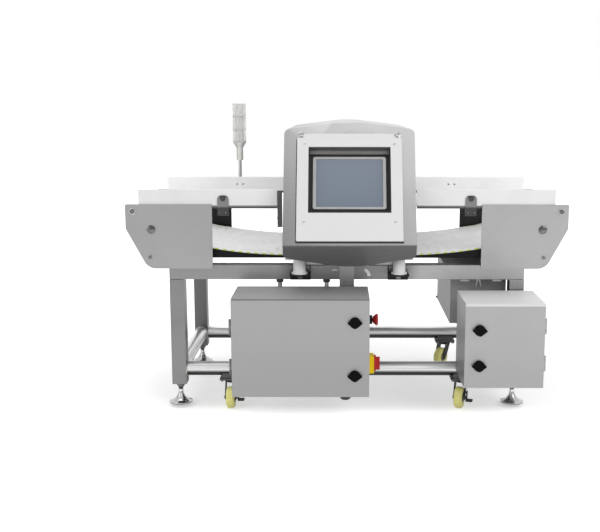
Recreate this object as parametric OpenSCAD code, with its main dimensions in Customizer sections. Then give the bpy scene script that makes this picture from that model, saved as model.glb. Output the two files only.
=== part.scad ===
// Conveyor metal detector for packed food, a free-standing machine.
// X runs along the belt, -Y is the operator's side, Z is up, and the origin is
// the middle of the machine's footprint on the floor. All sizes are in millimetres.

/* [Conveyor] */
// Length over the side plates
conveyor_len = 1500; // [1400:10:1600]
// Belt width
belt_w = 540; // [480:10:600]
// Distance from the belt's edge to a side plate's outer face
side_margin = 23; // [21:1:30]
// Belt thickness
belt_t = 3; // [2:0.5:3]
// Height of the belt's top above the tunnel's floor
belt_clear = 14; // [13:1:17]
// Rise of the belt between the head and the side plates
belt_rise = 23; // [18:1:27]
// Half length of the belt's flat run through the head
belt_flat_x = 184; // [160:2:200]
// Angle at which the belt leaves the end rollers
belt_lift = 55; // [50:1:58]
// Radius of the end rollers
roller_r = 38; // [34:1:40]
// Radius of the end rollers' shafts
shaft_r = 10; // [8:1:12]
// Height of the end rollers' axes above the belt's low run
roller_rise = 88; // [85:1:93]
// Distance of the end rollers' axes from the side plates' ends
roller_inset = 86; // [80:1:90]

/* [Side plates] */
// Thickness of a side plate
plate_t = 5; // [4:0.5:6]
// Height of a side plate
plate_h = 220; // [215:1:232]
// Reach of the side plates below the top of the frame's rails
plate_lap = 12; // [7:1:17]
// Length of a side plate
plate_len = 293; // [280:1:310]
// Height of the upright outer end of a side plate
plate_end_h = 83; // [75:1:95]
// Length cut off the bottom corner by the sloping end
plate_slope_x = 73; // [60:1:85]

/* [Frame] */
// Width of the square tube
tube_s = 50; // [44:1:54]
// Wall of the square tube
tube_wall = 3; // [2:0.5:4]
// Distance from the side plates' ends to the frame's ends
frame_inset = 142.5; // [130:2.5:155]
// Top of the frame's rails
rail_top_z = 505; // [500:1:506]
// Height of the legs' lower ends
leg_bottom_z = 82; // [78:1:90]
// Diameter of the long lower tubes
round_d = 50; // [44:1:54]
// Diameter of the round cross tubes
cross_d = 50; // [44:1:54]
// Height of the lower tubes' axes
round_z = 134; // [130:1:150]

/* [Guide rails] */
// Height of a guide rail board
guide_h = 53; // [45:1:60]
// Thickness of a guide rail board
guide_t = 20; // [15:1:22]
// Height of the guide rails' tops above the side plates
guide_above = 49; // [47:1:57]
// Distance from the side plates' ends to the rails' outer ends
guide_inset = 45; // [35:5:60]
// Distance from the head's side to the rails' inner ends
guide_gap = 8.5; // [6.5:1:17.5]

/* [Detector head] */
// Sideways offset of the head
head_x = 8; // [4:1:10]
// Length of the head along the belt
head_w = 439; // [425:1:440]
// Height of the head over its roof
head_h = 484; // [478:1:493]
// Fall of the roof from the ridge to the corners
head_roof_fall = 28; // [20:1:34]
// Clearance between the frame's rails and the head's lowest point
head_clear = 2; // [2:1:6]
// Height of the lower front face
head_lower_h = 86; // [76:1:92]
// Reach of the front ridge ahead of the side plates
head_front_out = 130; // [122:1:137]
// Reach of the head's back behind the side plates
head_back_out = 64; // [57:1:72]
// Lean of the upper front face
head_tilt = 24.5; // [20:0.5:28]
// Wall of the head's case
head_wall = 4; // [3:0.5:4]
// Height of the tunnel inside its liner
tunnel_h = 175; // [150:5:180]
// Clearance between the belt's edge and the tunnel's side
tunnel_side = 12; // [8:1:14]
// Wall of the tunnel liner
liner_t = 4; // [3:0.5:4]

/* [Screen] */
// Width of the white front cover
cover_w = 350; // [330:2:370]
// Height of the white front cover along the face
cover_h = 360; // [350:2:362]
// Width of the screen opening
window_w = 274; // [266:2:280]
// Height of the screen opening
window_h = 231; // [224:1:236]
// Width of the silver bezel
bezel_w = 246; // [236:1:250]
// Height of the silver bezel
bezel_h = 186; // [180:1:192]
// Width of the screen glass
glass_w = 222; // [210:1:226]
// Height of the screen glass
glass_h = 168; // [160:1:172]

/* [Main cabinet] */
// Left side of the main cabinet
main_x = -373.5; // [-380:0.5:-370]
// Width of the main cabinet
main_w = 445; // [438:1:452]
// Bottom of the main cabinet
main_z = 109; // [100:1:114]
// Height of the main cabinet
main_h = 324; // [318:1:330]

/* [Small cabinet] */
// Reach of the small cabinet beyond the frame's right end
small_out = 27.5; // [20:0.5:35]
// Width of the small cabinet
small_w = 257; // [250:1:265]
// Bottom of the small cabinet
small_z = 140; // [132:1:148]
// Height of the small cabinet
small_h = 279; // [272:1:286]

/* [Cabinet sheet metal] */
// Depth of a cabinet from its back to the door's face
cabinet_d = 215; // [200:5:230]
// Thickness of a door with its folded edge
door_t = 18; // [16:1:22]
// Sheet thickness of the cabinets
sheet_t = 2.5; // [2:0.5:3]
// Diameter of a lock's knob
lock_d = 36; // [32:1:40]

/* [Castors and feet] */
// Radius of a castor wheel
wheel_r = 37.5; // [36:0.5:38]
// Width of a castor wheel
wheel_w = 30; // [26:1:32]
// Distance from the frame's ends to the castors' swivel axes
castor_inset = 204.5; // [195:0.5:225]
// Distance from a castor's swivel axis to its axle
castor_trail = 30; // [26:1:32]
// Diameter of a levelling foot
foot_d = 80; // [70:2:84]
// Clearance under the levelling feet while the castors carry the machine
foot_lift = 13; // [10:1:16]

/* [Drive] */
// Distance from the frame's right end to the drive box
drive_inset = 51.5; // [51:0.5:58]
// Width of the drive box
drive_box_w = 194; // [180:1:195]
// Height of the drive box
drive_box_h = 179; // [174:1:188]
// Distance from the front plates' outer faces to the drive box
drive_front_in = 61; // [59:1:80]
// Distance from the rear plates' outer faces to the drive box
drive_back_in = 103; // [95:1:113]
// Depth of the motor's output shaft under the frame's rails
motor_drop = 85; // [80:1:95]

/* [Tower light] */
// Diameter of the lenses
lamp_d = 54; // [50:1:60]
// Height of the three lenses together
lamp_h = 151; // [140:1:160]
// Height of the tower light above the guide rails
lamp_above = 288; // [283:1:298]

/* [Hidden] */
$fn = 48;

// Shared clearances
seat_gap = 0.3;
run_gap = 0.05;
over = 1;
arc_steps = 8;
full_turn = 360;
left_right = [-1, 1];
front_back = [-1, 1];

// Colours, as the photograph shows them
steel_c = [0.66, 0.66, 0.66];
pale_c = [0.92, 0.92, 0.93];
white_c = [0.95, 0.95, 0.95];
black_c = [0.08, 0.08, 0.08];
grey_c = [0.35, 0.35, 0.36];
yellow_c = [0.83, 0.80, 0.45];
red_c = [0.75, 0.12, 0.10];
glass_c = [0.49, 0.54, 0.60];
chrome_c = [0.80, 0.80, 0.82];

// Places across the belt
lock_proud = 13;
cabinet_gap = 5;
plate_out_y = belt_w / 2 + side_margin;
plate_in_y = plate_out_y - plate_t;
tube_y = plate_in_y - tube_s / 2;
front_face_y = plate_out_y + cabinet_d + cabinet_gap;
front_reach = front_face_y + lock_proud;
head_ridge_y = plate_out_y + head_front_out;
head_back_y = plate_out_y + head_back_out;
conveyor_y = (front_reach - head_back_y) / 2;

// Places along the belt
plate_end_x = conveyor_len / 2;
plate_inner_x = plate_end_x - plate_len;
roller_x = plate_end_x - roller_inset;
frame_half_x = plate_end_x - frame_inset;
leg_x = frame_half_x - tube_s / 2;
guide_inner_x = head_x + head_w / 2 + guide_gap;
guide_outer_x = plate_end_x - guide_inset;
small_x = frame_half_x + small_out - small_w;

// Heights, stacked from the rails' top through the head's floor to the belt
coil_t = 8;
coil_gap = 0.2;
skirt_up = 3.5;
rail_bottom_z = rail_top_z - tube_s;
skirt_bottom_z = rail_top_z + skirt_up;
liner_bottom_z = skirt_bottom_z + head_wall + coil_gap + coil_t + seat_gap + liner_t;
belt_low_z = liner_bottom_z + belt_clear;
roller_z = belt_low_z + roller_rise;
plate_bottom_z = rail_top_z - plate_lap;
plate_top_z = plate_bottom_z + plate_h;
guide_top_z = plate_top_z + guide_above;
head_bottom_z = rail_top_z + head_clear;
head_ridge_z = head_bottom_z + head_lower_h;
head_top_z = head_bottom_z + head_h;
wrap_r = roller_r + seat_gap + belt_t;

module at_conveyor() {
    translate([0, conveyor_y, 0]) children();
}

// A profile drawn in X and Z, extruded from y0 to y1
module along_y(y0, y1) {
    translate([0, y1, 0]) rotate([90, 0, 0]) linear_extrude(height = y1 - y0) children();
}

// A profile drawn in Y and Z, extruded from x0 to x1
module along_x(x0, x1) {
    translate([x0, 0, 0]) rotate([90, 0, 90]) linear_extrude(height = x1 - x0) children();
}

// A box given by its lowest and highest corners
module box(low, high) {
    translate(low) cube(high - low);
}

// A round bar along Y, centred on x and z
module bar_y(x, z, r, y0, y1) {
    translate([x, y1, z]) rotate([90, 0, 0]) cylinder(r = r, h = y1 - y0);
}

// A round bar along X, centred on y and z
module bar_x(y, z, r, x0, x1) {
    translate([x0, y, z]) rotate([0, 90, 0]) cylinder(r = r, h = x1 - x0);
}

function unit(v) = v / norm(v);
function turned(a, r) = [r * cos(a), r * sin(a)];

// An outline whose corners p are rounded to the radii r
function rounded(p, r) = [for (i = [0 : len(p) - 1])
    let (a = p[(i + len(p) - 1) % len(p)], b = p[i], c = p[(i + 1) % len(p)],
         u = unit(a - b), v = unit(c - b), half = acos(u * v) / 2)
    each r[i] == 0 ? [b] :
        let (o = b + unit(u + v) * (r[i] / sin(half)), s = b + u * (r[i] / tan(half)),
             e = b + v * (r[i] / tan(half)), a0 = atan2(s[1] - o[1], s[0] - o[0]),
             a1 = atan2(e[1] - o[1], e[0] - o[0]),
                 da = ((a1 - a0 + 1.5 * full_turn) % full_turn) - full_turn / 2)
        [for (k = [0 : arc_steps]) o + turned(a0 + da * k / arc_steps, r[i])]];

// A rectangle with one corner radius, from its lowest corner
module round_rect(low, size, r) {
    far = low + size;
    polygon(rounded([low, [far[0], low[1]], far, [low[0], far[1]]], [r, r, r, r]));
}

// A hexagon bolt head pointing along -Y, with a washer behind it
module bolt_head(r, h, washer_r, washer_t) {
    rotate([90, 0, 0]) union() {
        cylinder(r = washer_r, h = washer_t);
        translate([0, 0, washer_t]) cylinder(r = r, h = h, $fn = 6);
    }
}

// Frame

leg_cap_t = 8;
foot_stem_r = 6;
foot_stem_gap = 0.1;

module frame_legs() {
    leg_top = rail_bottom_z - seat_gap;
    color(steel_c) at_conveyor() for (sx = left_right, sy = front_back)
        translate([sx * leg_x, sy * tube_y, leg_bottom_z]) difference() {
            translate([-tube_s / 2, -tube_s / 2, 0]) cube([tube_s, tube_s, leg_top - leg_bottom_z]);
            translate([-tube_s / 2 + tube_wall, -tube_s / 2 + tube_wall, leg_cap_t])
                cube([tube_s - 2 * tube_wall, tube_s - 2 * tube_wall,
                    leg_top - leg_bottom_z - leg_cap_t - tube_wall]);
            translate([0, 0, -over])
                cylinder(r = foot_stem_r + foot_stem_gap, h = leg_cap_t + 2 * over);
        }
}

// A square tube along Z, closed by a welded cap at each end
module square_tube(length) {
    difference() {
        translate([-tube_s / 2, -tube_s / 2, 0]) cube([tube_s, tube_s, length]);
        translate([-tube_s / 2 + tube_wall, -tube_s / 2 + tube_wall, tube_wall])
            cube([tube_s - 2 * tube_wall, tube_s - 2 * tube_wall, length - 2 * tube_wall]);
    }
}

module top_rails() {
    cross_half = tube_y - tube_s / 2 - seat_gap;
    color(steel_c) at_conveyor() translate([0, 0, rail_top_z - tube_s / 2]) {
        for (sy = front_back)
            translate([-frame_half_x, sy * tube_y, 0]) rotate([0, 90, 0]) square_tube(2 * frame_half_x);
        for (sx = left_right)
            translate([sx * leg_x, cross_half, 0]) rotate([90, 0, 0]) square_tube(2 * cross_half);
    }
}

module round_tube(r, length) {
    difference() {
        cylinder(r = r, h = length);
        translate([0, 0, -over]) cylinder(r = r - tube_wall, h = length + 2 * over);
    }
}

module lower_tubes() {
    long_half = leg_x - tube_s / 2 - seat_gap;
    cross_half = tube_y - tube_s / 2 - seat_gap;
    color(steel_c) at_conveyor() translate([0, 0, round_z]) {
        for (sy = front_back)
            translate([-long_half, sy * tube_y, 0]) rotate([0, 90, 0]) round_tube(round_d / 2, 2 * long_half);
        for (sx = left_right)
            translate([sx * leg_x, cross_half, 0]) rotate([90, 0, 0]) round_tube(cross_d / 2, 2 * cross_half);
    }
}

// Side plates, tie bars and bolts

plate_top_r = 5;
plate_end_r = 10;
plate_foot_r = 45;
bearing_r = 26;
tie_r = 8;
tie_upper_in = 25;
tie_upper_down = 24;
tie_lower_out = 6;
tie_lower_up = 39;
tie_upper_x = plate_end_x - tie_upper_in;
tie_upper_z = plate_top_z - tie_upper_down;
tie_lower_x = roller_x + tie_lower_out;
tie_lower_z = plate_bottom_z + tie_lower_up;
bed_bar_in = 63;
bed_bar_drop = 14;
bed_bar_x = plate_inner_x + bed_bar_in;
bed_bar_z = belt_low_z + belt_rise - bed_bar_drop;
ties = [[tie_upper_x, tie_upper_z], [tie_lower_x, tie_lower_z]];
tie_bolt_r = 4;

function plate_outline() = rounded(
    [[plate_inner_x, plate_bottom_z], [plate_end_x - plate_slope_x, plate_bottom_z],
     [plate_end_x, plate_top_z - plate_end_h], [plate_end_x, plate_top_z], [plate_inner_x, plate_top_z]],
    [0, plate_foot_r, plate_end_r, plate_top_r, 0]);

module side_plates() {
    color(steel_c) at_conveyor() for (sx = left_right, sy = front_back)
        mirror([sx < 0 ? 1 : 0, 0, 0]) mirror([0, sy < 0 ? 1 : 0, 0]) difference() {
            along_y(plate_in_y, plate_out_y) polygon(plate_outline());
            bar_y(roller_x, roller_z, shaft_r + seat_gap, plate_in_y - over, plate_out_y + over);
            for (t = ties) bar_y(t[0], t[1], tie_bolt_r + seat_gap, plate_in_y - over, plate_out_y + over);
        }
}

module tie_bars() {
    half = plate_in_y - seat_gap;
    color(steel_c) at_conveyor() for (sx = left_right) {
        for (t = ties) bar_y(sx * t[0], t[1], tie_r, -half, half);
        bar_y(sx * bed_bar_x, bed_bar_z, tie_r, -half, half);
    }
}

tie_head_r = 9;
tie_head_h = 6;
tie_washer_r = 12;
tie_washer_t = 2;
small_head_r = 6;
small_head_h = 4;
bracket_screw_r = 4;
bracket_screw_h = 3;
bracket_screw_dx = 10;

module fasteners() {
    bolt_y = plate_out_y + seat_gap;
    color(chrome_c) at_conveyor() {
        for (sx = left_right, sy = front_back) mirror([0, sy > 0 ? 1 : 0, 0]) {
            translate([sx * tie_upper_x, -bolt_y, tie_upper_z])
                bolt_head(tie_head_r, tie_head_h, tie_washer_r, tie_washer_t);
            translate([sx * tie_lower_x, -bolt_y, tie_lower_z])
                bolt_head(small_head_r, small_head_h, small_head_r, tie_washer_t);
            for (sb = left_right)
                translate([sx * bracket_x + sb * bracket_screw_dx, -bracket_front_y - seat_gap,
                    bracket_screw_z])
                    rotate([90, 0, 0]) cylinder(r = bracket_screw_r, h = bracket_screw_h);
            translate([sx * bracket_x, -bracket_front_y - seat_gap, bracket_nut_z])
                bolt_head(small_head_r, small_head_h, tie_head_r, tie_washer_t);
            translate([head_x + sx * isolator_x, -plate_in_y - angle_t - seat_gap, angle_bolt_z])
                bolt_head(small_head_r, small_head_h, tie_head_r, tie_washer_t);
        }
        on_face() for (sx = left_right)
            translate([sx * cover_bolt_x, cover_bolt_v, cover_t - strip_drop + 2 * seat_gap])
                cylinder(r1 = tie_head_r, r2 = small_head_r, h = small_head_h);
        on_face() for (sx = left_right, v = cover_screw_v)
            translate([sx * cover_screw_x, v, cover_t + seat_gap])
                cylinder(r = bracket_screw_r, h = cover_screw_h);
    }
}

// Rollers and bearings

bearing_t = 14;
pulley_out = 25;
pulley_y = plate_out_y + pulley_out;
pulley_w = 18;
roller_pulley_r = 34;
motor_pulley_r = 26;
roller_side_gap = 4;

module roller_bearings() {
    color(grey_c) at_conveyor() for (sx = left_right, sy = front_back)
        mirror([0, sy < 0 ? 1 : 0, 0]) difference() {
            bar_y(sx * roller_x, roller_z, bearing_r, plate_in_y - seat_gap - bearing_t,
                plate_in_y - seat_gap);
            bar_y(sx * roller_x, roller_z, shaft_r + run_gap,
                plate_in_y - bearing_t - over, plate_in_y + over);
        }
}

module end_roller(sx, front_y, back_y) {
    half = plate_in_y - bearing_t - roller_side_gap;
    bar_y(sx * roller_x, roller_z, roller_r, -half, half);
    bar_y(sx * roller_x, roller_z, shaft_r, -front_y, back_y);
}

shaft_end_out = 7;

module tail_roller() {
    reach = plate_out_y + shaft_end_out;
    color(steel_c) at_conveyor() end_roller(-1, reach, reach);
}

module drive_roller() {
    color(steel_c) at_conveyor() {
        end_roller(1, plate_out_y + shaft_end_out, pulley_y + pulley_w / 2);
        bar_y(roller_x, roller_z, roller_pulley_r, pulley_y - pulley_w / 2, pulley_y + pulley_w / 2);
    }
}

// Belt and bed. The belt's top run is flat in the head, rises as a parabola to
// the side plates, and then climbs along a cubic to the end rollers.

knee_z = belt_low_z + belt_rise;
knee_slope = 2 * belt_rise / (plate_inner_x - belt_flat_x);
leave_x = roller_x - wrap_r * sin(belt_lift);
leave_z = roller_z + wrap_r * cos(belt_lift);
climb_x = leave_x - plate_inner_x;
climb_steps = 14;
rise_steps = 12;
return_gap = 3;
return_z = liner_bottom_z + return_gap;
nose_in = 104;
nose_x = roller_x - nose_in;
nose_r = 20;
nose_wrap = nose_r + seat_gap + belt_t;
nose_z = return_z + nose_wrap;

function climb(s) = let (t = s / climb_x)
    (2 * t * t * t - 3 * t * t + 1) * knee_z + (t * t * t - 2 * t * t + t) * knee_slope * climb_x
    + (3 * t * t - 2 * t * t * t) * leave_z + (t * t * t - t * t) * tan(belt_lift) * climb_x;
function climb_slope(s) = let (t = s / climb_x)
    (6 * t * t - 6 * t) * (knee_z - leave_z) / climb_x + (3 * t * t - 4 * t + 1) * knee_slope
    + (3 * t * t - 2 * t) * tan(belt_lift);
function belt_z(x) = x <= belt_flat_x ? belt_low_z :
    x <= plate_inner_x ? belt_low_z + belt_rise * pow((x - belt_flat_x) / (plate_inner_x - belt_flat_x), 2) :
    climb(x - plate_inner_x);
function belt_slope(x) = x <= belt_flat_x ? 0 :
    x <= plate_inner_x ? knee_slope * (x - belt_flat_x) / (plate_inner_x - belt_flat_x) :
    climb_slope(x - plate_inner_x);

// A point of the top run, moved down square to the belt by d
function under_belt(x, d) = let (s = belt_slope(x), n = unit([s, -1])) [x, belt_z(x)] + n * d;

// The angle of the straight run from the roller down to the bed's nose
run_d = [roller_x - nose_x, roller_z - nose_z];
run_angle = atan2(run_d[1], run_d[0]) - acos((nose_wrap - wrap_r) / norm(run_d));

// The right half of the belt loop, d inside its outer face
function belt_half(d) = concat(
    [for (k = [0 : arc_steps]) let (a = -90 + (run_angle + 90) * k / arc_steps)
        [nose_x, nose_z] + turned(a, nose_wrap - d)],
    [for (k = [0 : 3 * arc_steps]) let (a = run_angle + (90 + belt_lift - run_angle) * k / (3 * arc_steps))
        [roller_x, roller_z] + turned(a, wrap_r - d)],
    [for (k = [1 : climb_steps]) under_belt(leave_x - climb_x * k / climb_steps, d)],
    [for (k = [1 : rise_steps])
        under_belt(plate_inner_x - (plate_inner_x - belt_flat_x) * k / rise_steps, d)]);

function mirrored(p) = [for (i = [len(p) - 1 : -1 : 0]) [-p[i][0], p[i][1]]];

module conveyor_belt() {
    outer = belt_half(0);
    inner = belt_half(belt_t);
    color(white_c) at_conveyor() along_y(-belt_w / 2, belt_w / 2) difference() {
        polygon(concat(outer, mirrored(outer)));
        polygon(concat(inner, mirrored(inner)));
    }
}

bed_end_in = 66;
bed_end_x = roller_x - bed_end_in;
bed_skin = 6;
bed_wall = 12;
bed_pocket_share = 0.54;
bed_pocket_x = belt_flat_x + bed_pocket_share * (plate_inner_x - belt_flat_x);
bed_out = 3.5;
bed_w = belt_w + 2 * bed_out;
bed_lip_t = 3;
bed_lip_drop = 0.4;
bed_lip_in = 20;

// The bed is a shallow tray of black plastic, with lips beside the return run.
// Its top face from x1 to x0, lying d under the belt's top face
function bed_top(x1, x0, d) = [for (k = [0 : climb_steps]) under_belt(x1 + (x0 - x1) * k / climb_steps, d)];

module slider_bed() {
    top_d = belt_t + seat_gap;
    floor_z = return_z + belt_t + seat_gap;
    nose_end = [nose_x, nose_z] + turned(run_angle, nose_r);
    run_slope = tan(run_angle + 90);
    end_z = nose_end[1] + (bed_end_x - nose_end[0]) * run_slope;
    half = concat([[nose_x, floor_z], nose_end, [bed_end_x, end_z]],
        bed_top(bed_end_x, plate_inner_x, top_d), bed_top(plate_inner_x, belt_flat_x, top_d));
    pocket_end = bed_end_x - bed_wall;
    pocket = concat([[bed_pocket_x, floor_z - over], [nose_x, floor_z - over],
        [pocket_end, end_z - bed_wall * run_slope - over]],
        bed_top(pocket_end, plate_inner_x, top_d + bed_skin),
        bed_top(plate_inner_x, bed_pocket_x, top_d + bed_skin));
    color(black_c) at_conveyor() {
        difference() {
            along_y(-bed_w / 2, bed_w / 2) polygon(concat(half, mirrored(half)));
            for (sx = left_right) {
                mirror([sx < 0 ? 1 : 0, 0, 0])
                    along_y(-bed_w / 2 + bed_wall, bed_w / 2 - bed_wall) polygon(pocket);
                bar_y(sx * bed_bar_x, bed_bar_z, tie_r + seat_gap, -bed_w, bed_w);
            }
        }
        for (sy = front_back) mirror([0, sy < 0 ? 1 : 0, 0])
            box([-plate_inner_x - bed_lip_in, bed_w / 2 - bed_lip_t, return_z - bed_lip_drop],
                [plate_inner_x + bed_lip_in, bed_w / 2, floor_z + over]);
    }
}

// Guide rails

guide_bottom_z = guide_top_z - guide_h;
guide_out_y = plate_in_y - seat_gap;
support_h = 10;
support_t = 3;
bracket_in = 38;
bracket_x = plate_inner_x - bracket_in;
bracket_w = 38;
bracket_t = 4;
bracket_top_down = 19;
bracket_top_z = guide_top_z - bracket_top_down;
bracket_drop = 35;
bracket_bottom_z = guide_bottom_z - bracket_drop;
bracket_r = 14;
bracket_front_y = guide_out_y + seat_gap + bracket_t;
bracket_screw_up = 11;
bracket_nut_down = 10;
bracket_screw_z = bracket_bottom_z + bracket_screw_up;
bracket_nut_z = bracket_top_z - bracket_nut_down;
rail_edge_r = 1;

module guide_rails() {
    color(white_c) at_conveyor() for (sx = left_right, sy = front_back)
        mirror([sx < 0 ? 1 : 0, 0, 0]) mirror([0, sy < 0 ? 1 : 0, 0])
            along_y(guide_out_y - guide_t, guide_out_y)
                round_rect([guide_inner_x, guide_bottom_z], [guide_outer_x - guide_inner_x, guide_h],
                    rail_edge_r);
}

// The angle under each rail is bolted inside the side plate and carries the
// upright bracket that holds the rail.
module rail_brackets() {
    top_z = guide_bottom_z - seat_gap;
    color(grey_c) at_conveyor() for (sx = left_right, sy = front_back)
        mirror([sx < 0 ? 1 : 0, 0, 0]) mirror([0, sy < 0 ? 1 : 0, 0]) {
            box([guide_inner_x, guide_out_y - guide_t, top_z - support_t],
                [guide_outer_x, guide_out_y, top_z]);
            box([guide_inner_x, guide_out_y - support_t, top_z - support_h],
                [guide_outer_x, guide_out_y, top_z - support_t]);
            box([bracket_x - bracket_w / 2, guide_out_y - support_t, bracket_bottom_z],
                [bracket_x + bracket_w / 2, guide_out_y, top_z - support_h]);
            along_y(guide_out_y + seat_gap, bracket_front_y)
                polygon(rounded([[bracket_x - bracket_w / 2, bracket_bottom_z],
                    [bracket_x + bracket_w / 2, bracket_bottom_z],
                    [bracket_x + bracket_w / 2, bracket_top_z], [bracket_x - bracket_w / 2, bracket_top_z]],
                    [0, 0, bracket_r, bracket_r]));
            box([bracket_x - bracket_w / 2, guide_out_y - support_t, bracket_bottom_z],
                [bracket_x + bracket_w / 2, bracket_front_y - bracket_t / 2, bracket_bottom_z + support_t]);
        }
}

sensor_bar_w = 12;
sensor_bar_down = 9;
sensor_bar_top_z = guide_top_z - sensor_bar_down;
sensor_bar_h = 118;
sensor_r = 9;
sensor_body_r = 8;
sensor_len = 34;
sensor_up = 30;
sensor_z = sensor_bar_top_z - sensor_bar_h + sensor_up;

module photo_sensor() {
    bar_x1 = -guide_inner_x + seat_gap + sensor_bar_w;
    mid_x = bar_x1 - sensor_bar_w / 2;
    color(grey_c) at_conveyor() difference() {
        union() {
            box([bar_x1 - sensor_bar_w, -guide_out_y, sensor_bar_top_z - sensor_bar_h],
                [bar_x1, -guide_out_y + guide_t / 2, sensor_bar_top_z]);
            bar_y(mid_x, sensor_z, sensor_r / 2, -guide_out_y, -guide_out_y + guide_t / 2 + sensor_len / 3);
            bar_y(mid_x, sensor_z, sensor_body_r, -guide_out_y + guide_t / 2,
                -guide_out_y + guide_t / 2 + sensor_len);
        }
        bar_y(mid_x, sensor_z, sensor_r / 2, -guide_out_y + guide_t / 2 + sensor_len - over,
            -guide_out_y + guide_t / 2 + sensor_len + over);
    }
}

// Detector head

head_corner_r = 18;
head_apex_r = 450;
head_ridge_r = 12;
head_under_out = 73;
head_under_y = plate_out_y + head_under_out;
head_corner_drop = 40;
skirt_half_x = 188;
skirt_side_gap = 1.7;
tunnel_w = belt_w + 2 * tunnel_side;
skirt_half_y = tunnel_w / 2 + liner_t + seat_gap + coil_t + skirt_side_gap + head_wall;
face_top = (head_top_z - head_ridge_z) * tan(head_tilt);
roof_inset = 1.5;
ridge_inset = 1.2;
coil_w = 30;
coil_dx = 100;

// The head seen from the front, moved in by d on all sides
function head_front(d) = let (h = head_w / 2 - d) rounded(
    [[0, head_bottom_z + d], [h, head_bottom_z + head_corner_drop + d],
     [h, head_top_z - head_roof_fall - d], [0, head_top_z - d],
     [-h, head_top_z - head_roof_fall - d], [-h, head_bottom_z + head_corner_drop + d]],
    [head_apex_r, head_corner_r, head_corner_r, head_apex_r, head_corner_r, head_corner_r]);

// The head seen from the side, moved in by d on all sides
function head_side(d) = rounded(
    [[-head_under_y + d, head_bottom_z + d], [head_back_y - d, head_bottom_z + d],
     [head_back_y - d, head_top_z - d], [-head_ridge_y + face_top + roof_inset * d, head_top_z - d],
     [-head_ridge_y + ridge_inset * d, head_ridge_z]],
    [head_ridge_r, head_corner_r, head_corner_r, head_ridge_r, head_ridge_r]);

module head_block(d) {
    intersection() {
        along_y(-head_ridge_y - over, head_back_y + over) polygon(head_front(d));
        along_x(-head_w, head_w) polygon(head_side(d));
    }
    box([-skirt_half_x + d, -skirt_half_y + d, skirt_bottom_z + d],
        [skirt_half_x - d, skirt_half_y - d, head_bottom_z + head_corner_drop + 2 * head_wall]);
}

// Local axes on the upper front face: x across, y up the face, z out of it,
// from the middle of the front ridge
module on_face() {
    translate([head_x, -head_ridge_y, head_ridge_z]) rotate([90 - head_tilt, 0, 0]) children();
}

cover_v = 12;
cover_t = 9;
cover_skin = 2.5;
cover_r = 4;
window_v = 109;
strip_h = 18;
strip_drop = 4;
cover_bolt_x = 161;
cover_bolt_up = 12.5;
cover_bolt_v = cover_v + cover_h + cover_bolt_up;
cover_screw_x = 150;
cover_screw_v = [77, 350];
cover_screw_h = 1.5;
pocket_depth = 60;

module head_shell() {
    liner_half_y = tunnel_w / 2 + liner_t + seat_gap;
    color(steel_c) at_conveyor() difference() {
        translate([head_x, 0, 0]) difference() {
            head_block(0);
            head_block(head_wall);
            box([-head_w, -liner_half_y, liner_bottom_z - liner_t - seat_gap],
                [head_w, liner_half_y, liner_bottom_z + tunnel_h + liner_t + seat_gap]);
        }
        on_face() translate([-window_w / 2, window_v, -pocket_depth])
            cube([window_w, window_h, pocket_depth + 2 * head_wall]);
    }
}

module tunnel_liner() {
    y = tunnel_w / 2;
    z0 = liner_bottom_z;
    z1 = liner_bottom_z + tunnel_h;
    color(white_c) at_conveyor() translate([head_x, 0, 0]) along_x(-head_w / 2, head_w / 2) difference() {
        round_rect([-y - liner_t, z0 - liner_t], [2 * y + 2 * liner_t, z1 - z0 + 2 * liner_t], 2 * liner_t);
        round_rect([-y, z0], [2 * y, z1 - z0], liner_t);
    }
}

module search_coils() {
    y = tunnel_w / 2 + liner_t + seat_gap;
    z0 = liner_bottom_z - liner_t - seat_gap;
    z1 = liner_bottom_z + tunnel_h + liner_t + seat_gap;
    color([0.72, 0.45, 0.2]) at_conveyor() for (k = [-1 : 1])
        translate([head_x + k * coil_dx, 0, 0]) along_x(-coil_w / 2, coil_w / 2) difference() {
            round_rect([-y - coil_t, z0 - coil_t], [2 * y + 2 * coil_t, z1 - z0 + 2 * coil_t], 3 * liner_t);
            round_rect([-y, z0], [2 * y, z1 - z0], 2 * liner_t);
        }
}

module head_cover() {
    color(pale_c) at_conveyor() on_face() difference() {
        union() {
            translate([0, 0, seat_gap]) linear_extrude(height = cover_t - seat_gap)
                round_rect([-cover_w / 2, cover_v], [cover_w, cover_h], cover_r);
            translate([0, 0, seat_gap]) linear_extrude(height = cover_t - strip_drop)
                round_rect([-cover_w / 2 + cover_r, cover_v + cover_h - over],
                    [cover_w - 2 * cover_r, strip_h],
                    cover_r / 2);
        }
        translate([-window_w / 2, window_v, -over]) cube([window_w, window_h, cover_t + 2 * over]);
        translate([-cover_w / 2 + cover_skin, cover_v + cover_skin, -over])
            cube([cover_w - 2 * cover_skin, cover_h - 2 * cover_skin, cover_t - cover_skin + over]);
    }
}

housing_depth = 24;
housing_wall = 2.5;
bezel_t = 7;
bezel_frame_r = 8;
glass_inset = 2;
glass_t = 3;
unit_w = 226;
unit_h = 170;
unit_d = 28;
screen_low = 2.4;
screen_v = window_v + window_h / 2 - screen_low;

// Black tray behind the window, with the screen's own case on its back
module screen_housing() {
    w = window_w - 2 * seat_gap;
    h = window_h - 2 * seat_gap;
    v = window_v + seat_gap;
    color(black_c) at_conveyor() on_face() {
        difference() {
            translate([-w / 2, v, -housing_depth - housing_wall])
                cube([w, h, housing_depth + housing_wall + cover_t - over]);
            translate([-w / 2 + housing_wall, v + housing_wall, -housing_depth])
                cube([w - 2 * housing_wall, h - 2 * housing_wall, housing_depth + cover_t]);
        }
        translate([-unit_w / 2, screen_v - unit_h / 2, -housing_depth - housing_wall - unit_d])
            cube([unit_w, unit_h, unit_d]);
    }
}

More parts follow.
